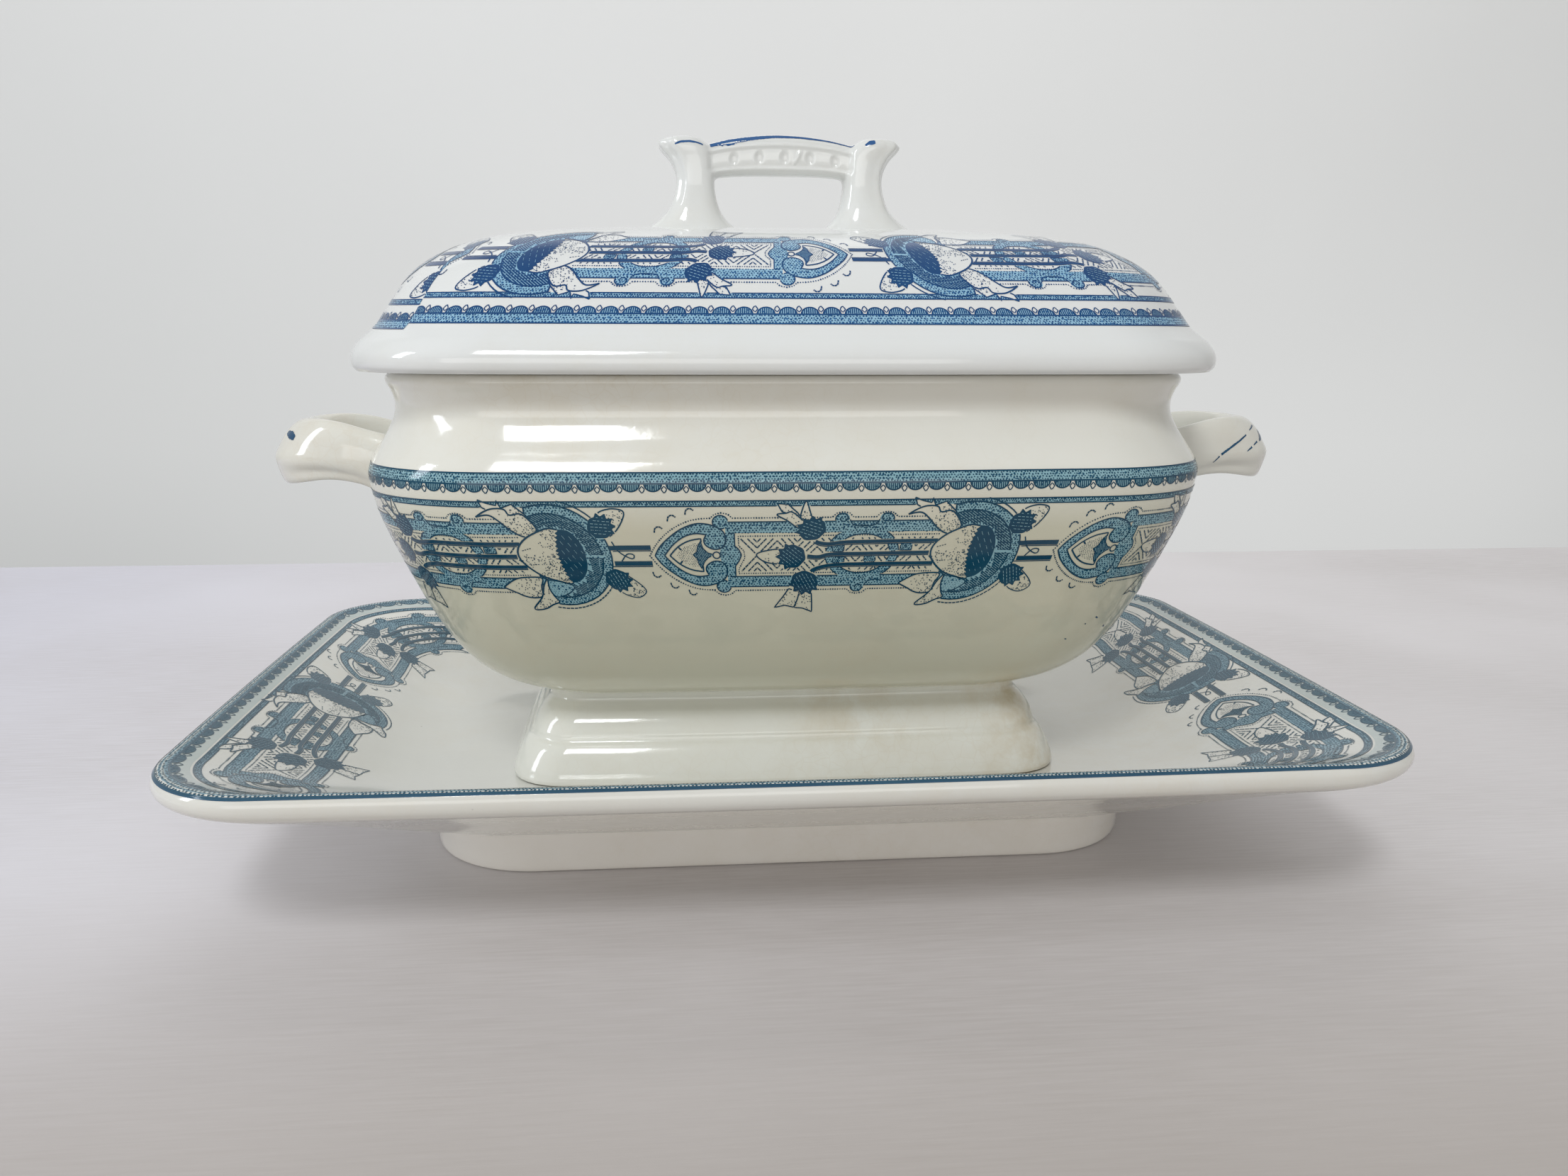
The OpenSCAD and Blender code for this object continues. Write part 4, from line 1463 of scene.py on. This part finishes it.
BOWL_MARKS = [
    [(95.3, -72, 87, 0.7), (96.6, -72, 85.8, 0.4)],
    [(100, -66, 82.6, 0.9), (100.8, -65.4, 81.8, 0.5)],
    [(92, -73, 84.5, 0.5), (92.6, -73, 84, 0.4)],
    [(86, -71.6, 79.5, 0.6), (86.8, -71.4, 79, 0.3)],
]


def lay_marks(name, piece, marks, body, material):
    """Brush marks in blue, laid on the surface of a piece."""
    surface = surface_of(piece)
    points, faces = [], []
    for mark in marks:
        mark = np.array(mark, float)
        along = lengths_along(mark[:, :3])
        middle = points_at(mark, along, np.arange(0, along[-1] + 0.3, 0.45))
        ahead = np.gradient(middle[:, :3], axis=0)
        start = len(points)
        for (x, y, z, width), way in zip(middle, ahead):
            spot, normal, _, _ = surface.find_nearest(Vector((x, y, z)))
            sideways = normal.cross(Vector(way)).normalized()
            # The bristles leave an uneven edge
            ragged = width * bristles.uniform(0.42, 0.55)
            for side in (-1, 0, 1):
                edge, over, _, _ = surface.find_nearest(spot + sideways * side * ragged)
                points.append(edge + over * MARK_LIFT)
        for row in range(len(middle) - 1):
            for column in range(2):
                corner = start + row * 3 + column
                faces.append((corner, corner + 1, corner + 4, corner + 3))
    make_mesh(name, np.array(points), faces, body, material)


bristles = np.random.default_rng(5)
bright_blue = ink("brush_blue", (0.008, 0.075, 0.24), (0.07, 0.17, 0.38))
dull_blue = ink("brush_teal", (0.004, 0.055, 0.14), (0.03, 0.13, 0.22))
lay_marks("lid_handle_marks", lid_handle, GRIP_MARKS, "lid", bright_blue)
lay_marks("handle_right_marks", handle_right, RIGHT_HANDLE_MARKS, "tureen", dull_blue)
lay_marks("handle_left_marks", handle_left, LEFT_HANDLE_MARKS, "tureen", dull_blue)
lay_marks("bowl_marks", bowl, BOWL_MARKS, "tureen", dull_blue)


# ---------------------------------------------------------------- stage, light and camera

def make_plane(name, corners, material):
    mesh = bpy.data.meshes.new(name)
    mesh.from_pydata(corners, [], [(0, 1, 2, 3)])
    mesh.materials.append(material)
    new_object(name, mesh)


def make_stage():
    """A table top that ends behind the object, and a wall that goes down behind it."""
    far = 0.53
    drop = -0.6
    # The cloth's left colour is painted light and its front colour is painted shade
    make_plane("floor", [(-3, -3, 0), (3, -3, 0), (3, far, 0), (-3, far, 0)],
               cloth("floor_cloth", (0.80, 0.77, 0.78), (0.74, 0.73, 0.81), (0.41, 0.36, 0.32)))
    make_plane("backdrop", [(-4, 1.5, drop), (4, 1.5, drop), (4, 1.5, 2.5), (-4, 1.5, 2.5)],
               paint("wall_paint", (0.84, 0.845, 0.84)))


def area_light(name, place, target, size, power, colour):
    light = bpy.data.lights.new(name, "AREA")
    light.shape = "RECTANGLE"
    light.size, light.size_y = size
    light.energy = power
    light.color = colour
    lamp = new_object(name, light)
    lamp.location = place
    lamp.rotation_euler = (Vector(target) - Vector(place)).to_track_quat("-Z", "Y").to_euler()
    return lamp


def make_lights():
    middle = (0, 0, 0.12)
    area_light("window", (-0.42, -1.45, 1.55), middle, (0.42, 0.5), 14, (0.95, 0.98, 1.0))
    area_light("side_window", (-1.7, -0.35, 0.9), middle, (0.3, 0.9), 7, (0.88, 0.94, 1.0))
    area_light("room", (-0.5, -2.3, 0.35), (0, 0, 0.05), (2.6, 0.7), 8.5, (1.0, 0.98, 0.95))
    for name, place, target, size, power in (
            ("wall_wash", (0.15, 0.75, 1.9), (0.15, 1.5, 1.1), (2.6, 0.5), 11),
            ("low_wall_wash", (0.75, 0.8, -0.35), (0.75, 1.5, 0.2), (2.2, 0.3), 2.5)):
        lamp = area_light(name, place, target, size, power, (1, 1, 1))
        # These two stand in for the room's brightness on the wall and are not seen in the glaze
        lamp.visible_glossy = False
    world = bpy.data.worlds.new("room")
    bpy.context.scene.world = world
    world.use_nodes = True
    world.node_tree.nodes["Background"].inputs["Color"].default_value = (0.80, 0.80, 0.79, 1)
    world.node_tree.nodes["Background"].inputs["Strength"].default_value = 0.55


def make_camera():
    """A wide lens a little left of the middle, looking slightly down, as a person would stand."""
    yaw, pitch, roll = 0.092, 0.199, 0.003
    place = Vector((-40.1, -458.6, 175.4)) * MM
    data = bpy.data.cameras.new("camera")
    data.sensor_width = 36
    data.lens = 29.13
    data.clip_start = 0.01
    camera = new_object("camera", data)
    forward = Vector((math.sin(yaw) * math.cos(pitch), math.cos(yaw) * math.cos(pitch), -math.sin(pitch)))
    right = Vector((math.cos(yaw), -math.sin(yaw), 0))
    up = right.cross(forward)
    right, up = right * math.cos(roll) + up * math.sin(roll), up * math.cos(roll) - right * math.sin(roll)
    turn = Matrix((right, up, -forward)).transposed()
    camera.matrix_world = Matrix.Translation(place) @ turn.to_4x4()
    bpy.context.scene.camera = camera
    bpy.context.scene.view_settings.view_transform = "Standard"


make_stage()
make_lights()
make_camera()
